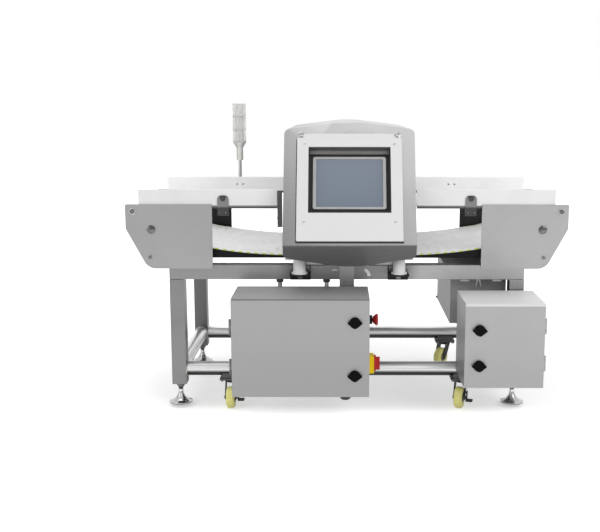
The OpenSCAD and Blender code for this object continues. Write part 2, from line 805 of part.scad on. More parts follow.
module screen_bezel() {
    color(chrome_c) at_conveyor() on_face()
        translate([0, screen_v, -housing_depth + seat_gap]) linear_extrude(height = bezel_t) difference() {
            round_rect([-bezel_w / 2, -bezel_h / 2], [bezel_w, bezel_h], bezel_frame_r);
            round_rect([-glass_w / 2 - seat_gap, -glass_h / 2 - seat_gap],
                [glass_w + 2 * seat_gap, glass_h + 2 * seat_gap], glass_inset);
        }
}

module screen_glass() {
    color(glass_c) at_conveyor() on_face()
        translate([0, screen_v, -housing_depth + seat_gap])
            linear_extrude(height = bezel_t - glass_inset)
                round_rect([-glass_w / 2, -glass_h / 2], [glass_w, glass_h], glass_inset);
}

// Isolators and brackets under the head

isolator_x = 168;
isolator_r = 21;
isolator_flange_r = 27;
isolator_flange_h = 6;
isolator_out = 38;
isolator_y = plate_in_y + isolator_out;
angle_down = 23;
angle_top_z = rail_top_z - angle_down;
angle_t = 6;
angle_w = 66;
angle_reach = 64;
angle_bolt_down = 16;
angle_bolt_z = angle_top_z - angle_bolt_down;
cheek_x = 36;
cheek_top_z = rail_top_z;

module head_isolators() {
    color(white_c) at_conveyor() difference() {
        for (sx = left_right, sy = front_back)
            translate([head_x + sx * isolator_x, sy * isolator_y, angle_top_z + seat_gap]) {
                cylinder(r = isolator_r, h = head_bottom_z + head_corner_drop - angle_top_z);
                cylinder(r = isolator_flange_r, h = isolator_flange_h);
            }
        translate([head_x, 0, -seat_gap])
            along_y(-head_ridge_y, head_back_y) polygon(head_front(0));
    }
}

module head_brackets() {
    z0 = rail_bottom_z;
    color(black_c) at_conveyor() for (sx = left_right, sy = front_back)
        translate([head_x + sx * isolator_x, 0, 0]) mirror([0, sy < 0 ? 1 : 0, 0]) {
            along_x(-angle_w / 2, angle_w / 2) polygon([[plate_in_y + seat_gap, z0],
                [plate_in_y + angle_t, z0], [plate_in_y + angle_t, angle_top_z - angle_t],
                [plate_in_y + angle_reach, angle_top_z - angle_t], [plate_in_y + angle_reach, angle_top_z],
                [plate_in_y + seat_gap, angle_top_z]]);
            mirror([sx < 0 ? 1 : 0, 0, 0])
                box([-cheek_x, plate_in_y + seat_gap, z0], [-angle_w / 2, plate_in_y + angle_t, cheek_top_z]);
        }
}

// Cabinets

cabinet_back_y = plate_out_y + cabinet_gap;
door_gap = 1.5;
lip_w = 12;
hinge_r = 4.5;
hinge_pin_r = 2;
leaf_t = 2;
hinge_h = 52;
hinge_knuckle = 16;
hinge_reach = 0.5;
hinge_dz = 66;
main_mid_z = main_z + main_h / 2;
small_mid_z = small_z + small_h / 2;
small_hinge_dz = 62;
door_back_y = front_face_y - door_t;
hinge_y = door_back_y - door_gap / 2;
main_hinge_x = main_x - hinge_r - hinge_reach;
small_hinge_x = small_x + small_w + hinge_r + hinge_reach;

// The fixed part of a hinge: two knuckles, the pin and the leaf to the cabinet
module hinge_fixed(x, z, to_right) {
    d = to_right ? 1 : -1;
    translate([x, -hinge_y, z - hinge_h / 2]) {
        cylinder(r = hinge_r, h = hinge_knuckle);
        translate([0, 0, hinge_h - hinge_knuckle]) cylinder(r = hinge_r, h = hinge_knuckle);
        cylinder(r = hinge_pin_r, h = hinge_h);
        for (z0 = [0, hinge_h - hinge_knuckle])
            translate([d > 0 ? 0 : -hinge_r - hinge_reach - leaf_t / 2, hinge_r - leaf_t, z0])
                cube([hinge_r + hinge_reach + leaf_t / 2, leaf_t, hinge_knuckle]);
        for (z0 = [0, hinge_h - hinge_knuckle])
            translate([d > 0 ? hinge_reach + hinge_r - leaf_t : -hinge_reach - hinge_r, hinge_r - leaf_t, z0])
                cube([leaf_t, 4 * leaf_t, hinge_knuckle]);
    }
}

// The moving part of a hinge: the middle knuckle and its leaf to the door
module hinge_moving(x, z, to_right) {
    d = to_right ? 1 : -1;
    mid_h = hinge_h - 2 * hinge_knuckle - 2 * seat_gap;
    translate([x, -hinge_y, z - mid_h / 2]) difference() {
        union() {
            cylinder(r = hinge_r, h = mid_h);
            translate([d > 0 ? 0 : -hinge_r - hinge_reach - leaf_t / 2, -hinge_r, 0])
                cube([hinge_r + hinge_reach + leaf_t / 2, leaf_t, mid_h]);
        }
        translate([0, 0, -over]) cylinder(r = hinge_pin_r + run_gap, h = mid_h + 2 * over);
    }
}

module cabinet_body(x, z, w, h) {
    front = -door_back_y + door_gap;
    back = -cabinet_back_y;
    difference() {
        box([x, front, z], [x + w, back, z + h]);
        box([x + sheet_t, front + sheet_t, z + sheet_t], [x + w - sheet_t, back - sheet_t, z + h - sheet_t]);
        box([x + lip_w, front - over, z + lip_w], [x + w - lip_w, front + 2 * sheet_t, z + h - lip_w]);
    }
}

module cabinet_door(x, z, w, h) {
    edge_r = 3;
    difference() {
        along_y(-front_face_y, -door_back_y) round_rect([x, z], [w, h], edge_r);
        box([x + sheet_t, -front_face_y + sheet_t, z + sheet_t],
            [x + w - sheet_t, -door_back_y + over, z + h - sheet_t]);
    }
}

control_out = 95;
estop_up = 230;
estop_y = cabinet_back_y + control_out;
estop_z = main_z + estop_up;
estop_collar_r = 15;
estop_collar_t = 8;
estop_stem_r = 6;
estop_root_r = 10;
estop_r = 19.5;
estop_cap_t = 18;
estop_rim_t = 6;
estop_edge_r = 4;
estop_travel = 5;
switch_up = 80;
switch_y = cabinet_back_y + control_out;
switch_z = main_z + switch_up;
switch_s = 58;
switch_t = 18;
switch_stem_r = 7;
main_right_x = main_x + main_w;

module main_cabinet() {
    color(steel_c) at_conveyor() {
        difference() {
            cabinet_body(main_x, main_z, main_w, main_h);
            bar_x(-estop_y, estop_z, estop_stem_r + 2 * seat_gap, main_right_x - 2 * sheet_t,
                main_right_x + over);
            bar_x(-switch_y, switch_z, switch_stem_r + seat_gap, main_right_x - 2 * sheet_t,
                main_right_x + over);
        }
        for (s = left_right) hinge_fixed(main_hinge_x, main_mid_z + s * hinge_dz, true);
    }
}

module small_cabinet() {
    color(steel_c) at_conveyor() {
        cabinet_body(small_x, small_z, small_w, small_h);
        for (s = left_right) hinge_fixed(small_hinge_x, small_mid_z + s * small_hinge_dz, false);
    }
}

lock_shaft_r = 9;
lock_edge = 47;
main_lock_drop = 3;
small_lock_drop = 7;
main_lock_dz = 88;
small_lock_dz = 59;
main_lock_z = main_mid_z - main_lock_drop;
small_lock_z = small_mid_z - small_lock_drop;
main_lock_x = main_right_x - lock_edge;
small_lock_x = small_x + lock_edge;

module main_door() {
    color(steel_c) at_conveyor() difference() {
        union() {
            cabinet_door(main_x, main_z, main_w, main_h);
            for (s = left_right) hinge_moving(main_hinge_x, main_mid_z + s * hinge_dz, true);
        }
        for (s = left_right) bar_y(main_lock_x, main_lock_z + s * main_lock_dz, lock_shaft_r + run_gap,
            -front_face_y - over, -door_back_y + over);
    }
}

module small_door() {
    color(steel_c) at_conveyor() difference() {
        union() {
            cabinet_door(small_x, small_z, small_w, small_h);
            for (s = left_right) hinge_moving(small_hinge_x, small_mid_z + s * small_hinge_dz, false);
        }
        for (s = left_right) bar_y(small_lock_x, small_lock_z + s * small_lock_dz, lock_shaft_r + run_gap,
            -front_face_y - over, -door_back_y + over);
    }
}

// A quarter-turn lock: knob with a pointed grip, shaft and inner cam. The cam
// points at the door's free edge and ends just short of the cabinet's lip.
lock_plate_t = 4;
lock_grip_w = 20;
lock_grip_reach = 25;
lock_nut_r = 12;
lock_nut_t = 4;
cam_t = 3;
cam_w = 18;

module quarter_lock(x, z, tip) {
    inner = -front_face_y + sheet_t + seat_gap;
    cam_y = -door_back_y + door_gap + sheet_t + 2 * over;
    color(black_c) at_conveyor() translate([x, 0, z]) mirror([tip < 0 ? 1 : 0, 0, 0]) {
        along_y(-front_face_y - seat_gap - lock_plate_t, -front_face_y - seat_gap) circle(r = lock_d / 2);
        along_y(-front_face_y - lock_proud, -front_face_y - lock_plate_t)
            polygon(rounded([[-lock_grip_reach, 0], [0, -lock_grip_w], [lock_grip_reach, 0],
                [0, lock_grip_w]],
                [sheet_t, lock_grip_w / 2, sheet_t, lock_grip_w / 2]));
        bar_y(0, 0, lock_shaft_r, -front_face_y - lock_plate_t, cam_y + cam_t);
        bar_y(0, 0, lock_nut_r, inner, inner + lock_nut_t);
        along_y(cam_y, cam_y + cam_t)
            round_rect([lip_w + over - lock_edge, -cam_w / 2],
                [lock_edge - lip_w - over + cam_w / 2, cam_w], cam_t);
    }
}

module main_lock_upper() {
    quarter_lock(main_lock_x, main_lock_z + main_lock_dz, -1);
}

module main_lock_lower() {
    quarter_lock(main_lock_x, main_lock_z - main_lock_dz, -1);
}

module small_lock_upper() {
    quarter_lock(small_lock_x, small_lock_z + small_lock_dz, 1);
}

module small_lock_lower() {
    quarter_lock(small_lock_x, small_lock_z - small_lock_dz, 1);
}

estop_inside = 20;

module estop_collar() {
    color(black_c) at_conveyor() difference() {
        bar_x(-estop_y, estop_z, estop_collar_r, main_right_x + seat_gap, main_right_x + estop_collar_t);
        bar_x(-estop_y, estop_z, estop_stem_r + run_gap, main_right_x - over,
            main_right_x + estop_collar_t + over);
    }
}

module estop_button() {
    cap_x = main_right_x + estop_collar_t + estop_travel + 2 * seat_gap;
    color(red_c) at_conveyor() translate([cap_x, -estop_y, estop_z]) rotate([0, 90, 0]) {
        rotate_extrude() polygon(rounded([[0, 0], [estop_root_r, 0], [estop_r, estop_cap_t - estop_rim_t],
            [estop_r, estop_cap_t], [0, estop_cap_t]], [0, 0, estop_edge_r / 2, estop_edge_r, 0]));
        translate([0, 0, main_right_x - estop_inside - cap_x])
            cylinder(r = estop_stem_r, h = cap_x - main_right_x + estop_inside + over);
    }
}

switch_plate_t = 8;
switch_plate_r = 22.5;

module switch_body() {
    x0 = main_right_x + seat_gap;
    corner = 5;
    color(yellow_c) at_conveyor() difference() {
        along_x(x0, x0 + switch_t)
            round_rect([-switch_y - switch_s / 2, switch_z - switch_s / 2], [switch_s, switch_s], corner);
        bar_x(-switch_y, switch_z, switch_stem_r + run_gap, x0 - over, x0 + switch_t + over);
    }
}

module switch_knob() {
    x0 = main_right_x + switch_t + 2 * seat_gap;
    grip_w = 13;
    grip_t = 12;
    grip_len = 44;
    color(red_c) at_conveyor() {
        bar_x(-switch_y, switch_z, switch_plate_r, x0, x0 + switch_plate_t);
        along_x(x0, x0 + switch_plate_t + grip_t)
            round_rect([-switch_y - grip_w / 2, switch_z - grip_len / 2], [grip_w, grip_len], grip_w / 3);
        bar_x(-switch_y, switch_z, switch_stem_r, main_right_x - estop_inside, x0 + over);
    }
}

backing_t = 3;
standoff_r = 5;
standoff_h = 12;
plate_margin = 30;

// Back plates inside the cabinets, on four standoffs each
module mounting_plates() {
    back = -cabinet_back_y - sheet_t - seat_gap;
    color(pale_c) at_conveyor()
        for (c = [[main_x, main_z, main_w, main_h], [small_x, small_z, small_w, small_h]]) {
            box([c[0] + plate_margin, back - standoff_h - backing_t, c[1] + plate_margin],
                [c[0] + c[2] - plate_margin, back - standoff_h, c[1] + c[3] - plate_margin]);
            for (sx = left_right, sz = left_right)
                bar_y(c[0] + c[2] / 2 + sx * (c[2] / 2 - 1.5 * plate_margin),
                    c[1] + c[3] / 2 + sz * (c[3] / 2 - 1.5 * plate_margin), standoff_r,
                    back - standoff_h - backing_t / 2, back);
        }
}

inverter_w = 90;
inverter_h = 150;
inverter_d = 95;
fin_t = 3;

module motor_inverter() {
    x0 = main_x + 2 * plate_margin;
    z0 = main_mid_z - inverter_h / 2;
    y1 = -cabinet_back_y - sheet_t - standoff_h - backing_t - 2 * seat_gap;
    fins = 6;
    color(grey_c) at_conveyor() difference() {
        box([x0, y1 - inverter_d, z0], [x0 + inverter_w, y1, z0 + inverter_h]);
        for (k = [1 : fins])
            box([x0 + k * inverter_w / (fins + 1) - fin_t / 2, y1 - inverter_d / 3, z0 - over],
                [x0 + k * inverter_w / (fins + 1) + fin_t / 2, y1 - fin_t, z0 + inverter_h + over]);
    }
}

hanger_w = 50;
hanger_t = 4;
rod_r = 7.5;
rod_share = [0.3215, 0.683];
rod_x = [for (k = rod_share) main_x + k * main_w];
rod_foot_drop = 30;
rod_foot_z = main_z + main_h - rod_foot_drop;
tab_t = 3;
pad_s = 40;
pad_dz = 100;

// The flat bar bolted to the front rail, two rods from the rail's underside to
// tabs on the main cabinet's back, and spacers between leg and small cabinet
module cabinet_hangers() {
    y0 = -plate_in_y - seat_gap - hanger_t;
    color(steel_c) at_conveyor() {
        box([-hanger_w / 2, y0, main_mid_z], [hanger_w / 2, y0 + hanger_t, rail_top_z - over]);
        box([-hanger_w / 2, -cabinet_back_y + seat_gap, main_mid_z],
            [hanger_w / 2, y0 + over, main_mid_z + hanger_w]);
        for (x = rod_x) {
            translate([x, -tube_y, rod_foot_z])
                cylinder(r = rod_r, h = rail_bottom_z - seat_gap - rod_foot_z);
            box([x - rod_r, -cabinet_back_y + seat_gap, rod_foot_z - tab_t],
                [x + rod_r, -tube_y + rod_r, rod_foot_z]);
            box([x - rod_r, -cabinet_back_y + seat_gap, rod_foot_z - hanger_w],
                [x + rod_r, -cabinet_back_y + tab_t, rod_foot_z]);
        }
        for (sz = left_right)
            box([leg_x - pad_s / 2, -cabinet_back_y + seat_gap, small_mid_z + sz * pad_dz - pad_s / 2],
                [leg_x + pad_s / 2, -plate_in_y - seat_gap, small_mid_z + sz * pad_dz + pad_s / 2]);
    }
}

// Castors. Local axes: the swivel axis is Z, and the axle trails along -Y.

castor_x = frame_half_x - castor_inset;
castor_plate_t = 5;
castor_block_h = 6;
castor_top_z = round_z - round_d / 2 - castor_block_h;
castor_plate_z = castor_top_z - castor_plate_t;
kingpin_r = 6;
kingpin_len = 12;
fork_t = 3;
fork_gap = 2;
fork_in = wheel_w / 2 + fork_gap;
fork_crown_t = 6;
fork_crown_r = 26;
axle_r = 4;
castors = [[-1, -1, 0], [1, -1, 18], [-1, 1, 30], [1, 1, 35]];

module at_castor(i) {
    c = castors[i];
    at_conveyor() translate([c[0] * castor_x, c[1] * tube_y, 0]) rotate([0, 0, -c[2]]) children();
}

module castor_plates() {
    plate_x = 78;
    plate_y = 62;
    corner = 6;
    saddle_x = 60;
    color(grey_c) at_conveyor() for (c = castors)
        translate([c[0] * castor_x, c[1] * tube_y, 0]) {
            translate([0, 0, castor_plate_z]) linear_extrude(height = castor_plate_t)
                round_rect([-plate_x / 2, -plate_y / 2], [plate_x, plate_y], corner);
            translate([0, 0, castor_plate_z - kingpin_len]) cylinder(r = kingpin_r, h = kingpin_len + over);
            difference() {
                box([-saddle_x / 2, -plate_y / 2 + corner, castor_top_z - over],
                    [saddle_x / 2, plate_y / 2 - corner, round_z - round_d / 4]);
                bar_x(0, round_z, round_d / 2 + seat_gap, -saddle_x, saddle_x);
            }
        }
}

module castor_fork(i) {
    crown_z = castor_plate_z - seat_gap - fork_crown_t;
    leg_w = 16;
    color(black_c) at_castor(i) {
        difference() {
            union() {
                translate([0, 0, crown_z]) cylinder(r = fork_crown_r, h = fork_crown_t);
                translate([0, 0, crown_z - fork_crown_t]) cylinder(r = fork_in, h = fork_crown_t + over);
                translate([0, 0, crown_z])
                    box([-fork_in - fork_t, -fork_in - fork_t, 0],
                        [fork_in + fork_t, fork_in - fork_t, fork_crown_t / 2]);
            }
            translate([0, 0, crown_z - kingpin_len])
                cylinder(r = kingpin_r + run_gap, h = 2 * kingpin_len + fork_crown_t);
        }
        for (s = left_right) mirror([s < 0 ? 1 : 0, 0, 0])
            along_x(fork_in, fork_in + fork_t)
                polygon(rounded([[-castor_trail - leg_w / 2, wheel_r - leg_w / 2],
                    [-castor_trail + leg_w / 2, wheel_r - leg_w / 2],
                    [fork_in - fork_t, crown_z], [fork_in - fork_t, crown_z + fork_crown_t],
                    [-fork_in - fork_t, crown_z + fork_crown_t],
                        [-castor_trail - leg_w / 2, wheel_r + leg_w]],
                    [leg_w / 3, leg_w / 3, fork_t, 0, 0, leg_w / 2]));
        bar_x(-castor_trail, wheel_r, axle_r, -fork_in - fork_t - fork_t, fork_in + fork_t + fork_t);
    }
}

module castor_wheel(i) {
    hub_r = 14;
    hub_out = 1;
    tread_r = 6;
    hw = wheel_w / 2;
    color(yellow_c) at_castor(i) translate([0, -castor_trail, wheel_r]) rotate([0, 90, 0])
        rotate_extrude() polygon(rounded([[axle_r + run_gap, -hw - hub_out], [hub_r, -hw - hub_out],
            [hub_r, -hw + tread_r / 2], [wheel_r - tread_r, -hw], [wheel_r, -hw + tread_r],
            [wheel_r, hw - tread_r], [wheel_r - tread_r, hw], [hub_r, hw - tread_r / 2],
            [hub_r, hw + hub_out], [axle_r + run_gap, hw + hub_out]],
            [0, 0, hub_out, tread_r / 2, tread_r / 2, tread_r / 2, tread_r / 2, hub_out, 0, 0]));
}

pedal_pivot = [-17, 54];
pedal_r = 3;

module brake_pedal(i) {
    x0 = fork_in + 2 * fork_t + over;
    tab = 22;
    tab_y = 24;
    color(black_c) at_castor(i) {
        along_x(x0, x0 + fork_t)
            polygon(rounded([[pedal_pivot[0] - pedal_r * 2, pedal_pivot[1] + pedal_r * 2],
                [pedal_pivot[0] - tab_y, pedal_pivot[1] - tab_y], [pedal_pivot[0], pedal_pivot[1] - tab_y],
                [pedal_pivot[0] + pedal_r * 2, pedal_pivot[1] + pedal_r * 2]],
                [pedal_r, pedal_r, pedal_r, pedal_r]));
        box([x0, pedal_pivot[0] - tab_y, pedal_pivot[1] - tab_y - fork_t],
            [x0 + tab, pedal_pivot[0], pedal_pivot[1] - tab_y + fork_t / 2]);
        bar_x(pedal_pivot[0], pedal_pivot[1], pedal_r, fork_in + fork_t + seat_gap, x0 + fork_t);
    }
}

module fork_front_left() {
    castor_fork(0);
}

module fork_front_right() {
    castor_fork(1);
}

module fork_rear_left() {
    castor_fork(2);
}

module fork_rear_right() {
    castor_fork(3);
}

module wheel_front_left() {
    castor_wheel(0);
}

module wheel_front_right() {
    castor_wheel(1);
}

module wheel_rear_left() {
    castor_wheel(2);
}

module wheel_rear_right() {
    castor_wheel(3);
}

module pedal_front_left() {
    brake_pedal(0);
}

module pedal_front_right() {
    brake_pedal(1);
}

// Levelling feet: a turned bell, a lock nut on a cone under the leg, and the screw

foot_edge_h = 4;
foot_neck_r = 8;
foot_bell_h = 46;
foot_nut_r = 14;
foot_nut_h = 7;
foot_cone_h = 11;
foot_cone_r = 7;
foot_cone_top_r = 12;
foot_nut_room = 4;
foot_screw_h = 105;
foot_flare_share = 0.42;

module levelling_foot(sx, sy) {
    nut_z = leg_bottom_z - foot_nut_room - foot_nut_h - foot_lift;
    color(chrome_c) at_conveyor() translate([sx * leg_x, sy * tube_y, foot_lift]) {
        rotate_extrude() polygon(concat([[0, 0], [foot_d / 2, 0], [foot_d / 2, foot_edge_h]],
            [for (k = [1 : arc_steps]) let (t = k / arc_steps)
                [foot_neck_r + (foot_d / 2 - foot_neck_r) * pow(1 - t, 2),
                 foot_edge_h + (foot_bell_h - foot_edge_h) * pow(t, 1 + foot_flare_share)]],
            [[0, foot_bell_h]]));
        translate([0, 0, foot_bell_h - over]) cylinder(r = foot_stem_r, h = foot_screw_h);
        translate([0, 0, nut_z]) cylinder(r = foot_nut_r, h = foot_nut_h, $fn = 6);
        translate([0, 0, nut_z - foot_cone_h])
            cylinder(r1 = foot_cone_r, r2 = foot_cone_top_r, h = foot_cone_h);
    }
}

module foot_front_left() {
    levelling_foot(-1, -1);
}

module foot_front_right() {
    levelling_foot(1, -1);
}

module foot_rear_left() {
    levelling_foot(-1, 1);
}

module foot_rear_right() {
    levelling_foot(1, 1);
}

// Tower light on the rear guide rail

lamp_side = 3;
lamp_out = 17;
lamp_x = -bracket_x - lamp_side;
lamp_y = plate_out_y + lamp_out;
lamp_base_h = 24;
neck_r = 13;
neck_h = 48;
pole_r = 7;
pole_up = 16;
pole_bottom_z = bracket_bottom_z + pole_up;
lamp_bottom_z = guide_top_z + lamp_above - lamp_h;
neck_top_z = lamp_bottom_z - lamp_base_h;
clamp_w = 40;
clamp_h = 30;

module tower_light_pole() {
    color(steel_c) at_conveyor() {
        translate([lamp_x, lamp_y, lamp_bottom_z - lamp_base_h - seat_gap])
            cylinder(r1 = neck_r, r2 = lamp_d / 2, h = lamp_base_h);
        translate([lamp_x, lamp_y, neck_top_z - neck_h]) cylinder(r = neck_r, h = neck_h);
        translate([lamp_x, lamp_y, pole_bottom_z])
            cylinder(r = pole_r, h = neck_top_z - neck_h - pole_bottom_z);
        box([lamp_x - clamp_w / 2, bracket_front_y + seat_gap, pole_bottom_z],
            [lamp_x + clamp_w / 2, lamp_y + pole_r, pole_bottom_z + clamp_h]);
    }
}

module tower_light_lenses() {
    tier_h = lamp_h / 3;
    groove = 1.5;
    color([0.85, 0.86, 0.87]) at_conveyor() translate([lamp_x, lamp_y, lamp_bottom_z]) {
        for (k = [0 : 2])
            translate([0, 0, k * tier_h]) {
                cylinder(r = lamp_d / 2, h = tier_h - groove);
                cylinder(r = lamp_d / 2 - groove, h = tier_h);
            }
    }
}

// Drive: a sheet box under the rear rail, the gear motor in it, and the belt
// drive behind the rear side plate

ear_t = 6;
ear_w = 30;
ear_dx = 55;
drive_up = 12;
motor_side = 4;
drive_top_z = rail_bottom_z + drive_up;
drive_box_x = frame_half_x - drive_inset - drive_box_w;
drive_box_front = plate_out_y - drive_front_in;
drive_box_back = plate_out_y - drive_back_in;
motor_x = drive_box_x + drive_box_w / 2 - motor_side;
motor_z = rail_bottom_z - motor_drop;
torque_tube_r = 30;
torque_tube_bore = 20;

// The box hangs on four ears under the rails, and a tube round the motor's
// shaft runs from its back to the belt guard.
module drive_box() {
    z0 = drive_top_z - drive_box_h;
    x1 = drive_box_x + drive_box_w;
    y0 = -drive_box_front;
    ear_y = tube_y + tube_s / 2;
    ear_z = rail_bottom_z - seat_gap;
    mid_x = drive_box_x + drive_box_w / 2;
    catch_w = 22;
    catch_h = 34;
    catch_wire = 4;
    catch_drop = 12;
    color(grey_c) at_conveyor() {
        difference() {
            union() {
                box([drive_box_x, y0, z0], [x1, drive_box_back, drive_top_z]);
                bar_y(motor_x, motor_z, torque_tube_r, drive_box_back - over, plate_out_y);
            }
            box([drive_box_x + sheet_t, y0 + sheet_t, z0 + sheet_t],
                [x1 - sheet_t, drive_box_back - sheet_t, drive_top_z - sheet_t]);
            bar_y(motor_x, motor_z, torque_tube_bore, drive_box_back - 2 * sheet_t, plate_out_y + over);
        }
        translate([mid_x, 0, drive_top_z - catch_h - catch_drop])
            along_y(y0 - catch_wire, y0 + over / 2) difference() {
                polygon([[-catch_w / 2, 0], [catch_w / 2, 0], [catch_wire, catch_h], [-catch_wire, catch_h]]);
                polygon([[-catch_w / 2 + catch_wire, -over], [catch_w / 2 - catch_wire, -over],
                    [0, catch_h - 2 * catch_wire]]);
            }
        for (s = left_right, y = [[-ear_y, y0 + over], [drive_box_back - over, ear_y]])
            box([mid_x + s * ear_dx - ear_w / 2, y[0], ear_z - ear_t],
                [mid_x + s * ear_dx + ear_w / 2, y[1], ear_z]);
    }
}

motor_r = 48;
motor_len = 190;
gearbox_s = 104;
gearbox_d = 90;
motor_rib = 3;
motor_ribs = 12;

module gear_motor() {
    back = drive_box_back - sheet_t - seat_gap;
    gear_y = back - gearbox_d;
    color([0.3, 0.42, 0.55]) at_conveyor() {
        difference() {
            box([motor_x - gearbox_s / 2, gear_y, motor_z - gearbox_s / 2],
                [motor_x + gearbox_s / 2, back, motor_z + gearbox_s / 2]);
            bar_y(motor_x, motor_z, shaft_r + run_gap, gear_y + gearbox_d / 3, back + over);
        }
        bar_y(motor_x, motor_z, motor_r, gear_y - motor_len, gear_y + over);
        for (k = [0 : motor_ribs - 1])
            translate([motor_x, gear_y, motor_z]) rotate([90, full_turn * k / motor_ribs, 0])
                translate([motor_r - over, -motor_rib / 2, motor_len / 6])
                    cube([motor_rib + over, motor_rib, 2 * motor_len / 3]);
    }
}

motor_shaft_in = 50;

module motor_pulley() {
    color(steel_c) at_conveyor() {
        bar_y(motor_x, motor_z, shaft_r, drive_box_back - motor_shaft_in, pulley_y + pulley_w / 2);
        bar_y(motor_x, motor_z, motor_pulley_r, pulley_y - pulley_w / 2, pulley_y + pulley_w / 2);
    }
}

// The outline round two circles, as one closed loop
function loop_round(a, ra, b, rb) = let (d = b - a, dir = atan2(d[1], d[0]), off = acos((ra - rb) / norm(d)))
    concat([for (k = [0 : 2 * arc_steps])
        a + turned(dir + off + (full_turn - 2 * off) * k / (2 * arc_steps), ra)],
        [for (k = [0 : 2 * arc_steps]) b + turned(dir - off + 2 * off * k / (2 * arc_steps), rb)]);

drive_belt_t = 4;
guard_gap = 12;
guard_depth = 30;

module drive_belt() {
    a = [motor_x, motor_z];
    b = [roller_x, roller_z];
    w = pulley_w - 2 * over;
    color(black_c) at_conveyor() along_y(pulley_y - w / 2, pulley_y + w / 2) difference() {
        polygon(loop_round(a, motor_pulley_r + seat_gap + drive_belt_t, b,
            roller_pulley_r + seat_gap + drive_belt_t));
        polygon(loop_round(a, motor_pulley_r + seat_gap, b, roller_pulley_r + seat_gap));
    }
}

module drive_guard() {
    a = [motor_x, motor_z];
    b = [roller_x, roller_z];
    ra = motor_pulley_r + guard_gap;
    rb = roller_pulley_r + guard_gap;
    y0 = plate_out_y + seat_gap;
    y1 = pulley_y + pulley_w / 2 + guard_gap;
    color(steel_c) at_conveyor() difference() {
        along_y(y0, y1) polygon(loop_round(a, ra, b, rb));
        along_y(y0 - over, y1 - sheet_t) polygon(loop_round(a, ra - sheet_t, b, rb - sheet_t));
    }
}

frame_legs();
top_rails();
lower_tubes();
side_plates();
tie_bars();
fasteners();
roller_bearings();
conveyor_belt();
slider_bed();
guide_rails();
rail_brackets();
photo_sensor();
head_shell();
tunnel_liner();
search_coils();
head_cover();
screen_housing();
screen_bezel();
screen_glass();
head_isolators();
head_brackets();
cabinet_hangers();
main_cabinet();
mounting_plates();
motor_inverter();
estop_collar();
switch_body();
small_cabinet();
castor_plates();
tower_light_pole();
tower_light_lenses();
drive_box();
gear_motor();
drive_belt();
drive_guard();
main_door();
small_door();
main_lock_upper();
main_lock_lower();
small_lock_upper();
small_lock_lower();
estop_button();
switch_knob();
drive_roller();
tail_roller();
motor_pulley();
fork_front_left();
fork_front_right();
fork_rear_left();
fork_rear_right();
wheel_front_left();
wheel_front_right();
wheel_rear_left();
wheel_rear_right();
pedal_front_left();
pedal_front_right();
foot_front_left();
foot_front_right();
foot_rear_left();
foot_rear_right();
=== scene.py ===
import math

import bmesh
import bpy
from mathutils import Matrix, Vector


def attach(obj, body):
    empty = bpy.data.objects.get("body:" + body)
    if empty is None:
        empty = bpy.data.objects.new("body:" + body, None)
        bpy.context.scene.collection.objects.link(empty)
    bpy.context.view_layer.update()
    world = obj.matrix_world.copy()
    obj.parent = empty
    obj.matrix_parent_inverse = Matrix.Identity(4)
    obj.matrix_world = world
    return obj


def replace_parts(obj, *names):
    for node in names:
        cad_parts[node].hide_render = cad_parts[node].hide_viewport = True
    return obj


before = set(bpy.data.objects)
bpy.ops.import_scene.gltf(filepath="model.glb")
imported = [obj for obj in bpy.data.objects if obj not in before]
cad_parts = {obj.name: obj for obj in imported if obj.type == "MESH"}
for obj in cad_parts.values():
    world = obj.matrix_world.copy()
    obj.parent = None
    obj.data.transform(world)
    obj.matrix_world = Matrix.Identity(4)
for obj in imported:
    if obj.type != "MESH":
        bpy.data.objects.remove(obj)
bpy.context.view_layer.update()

scene = bpy.context.scene
scene.view_settings.view_transform = "Standard"


# Camera. A 56 mm lens 3.3 m in front of the machine and a little over a metre
# up, tipped down by nine and a half degrees, as the photograph was taken.
def placed(name, data):
    """A new object in the scene."""
    made = bpy.data.objects.new(name, data)
    scene.collection.objects.link(made)
    return made


lens = bpy.data.cameras.new("photo_camera")
lens.lens = 55.62
lens.sensor_width = 36.0
lens.shift_x = -0.06385
lens.shift_y = -0.01223
camera = placed("photo_camera", lens)
camera.location = (-0.0297, -3.3226, 1.0463)
camera.rotation_euler = (math.radians(90 - 9.45), math.radians(-0.06), 0)
scene.camera = camera


# Studio. A white sweep behind the machine, a pale room in front of it, and a
# white floor that keeps the machine's soft shadow.
def node(tree, kind, **settings):
    """A new node of a kind in a material's, a group's or the world's tree."""
    made = tree.nodes.new("ShaderNode" + kind)
    for name, value in settings.items():
        setattr(made, name, value)
    return made


def feed(socket, value):
    """Links value to socket if it is a socket, and sets it if it is a number or a colour."""
    if isinstance(value, bpy.types.NodeSocket):
        socket.id_data.links.new(value, socket)
    elif isinstance(value, (tuple, list)) and len(value) == 3 and socket.type == "RGBA":
        socket.default_value = (*value, 1.0)
    else:
        socket.default_value = value


def fill(made, values):
    """Feeds a node's inputs by their titles or numbers, and returns what the node puts out."""
    for title, value in values.items():
        feed(made.inputs[title], value)
    return made.outputs


def maths(tree, operation, *values, clamp=False):
    made = node(tree, "Math", operation=operation, use_clamp=clamp)
    return fill(made, dict(enumerate(values)))[0]


def times(tree, first, second):
    """The product of two values; of two masks, the part where both hold."""
    return maths(tree, "MULTIPLY", first, second)


def mix(tree, share, first, second):
    """The first colour where share is 0 and the second where it is 1, with a blend between."""
    return fill(node(tree, "Mix", data_type="RGBA"), {0: share, 6: first, 7: second})[2]


def remap(tree, value, start, end, low=0.0, high=1.0, how="SMOOTHSTEP"):
    """Turns a value from start to end into one from low to high, and holds it there beyond."""
    made = node(tree, "MapRange", interpolation_type=how)
    limits = {"From Min": start, "From Max": end, "To Min": low, "To Max": high}
    return fill(made, {"Value": value, **limits})[0]


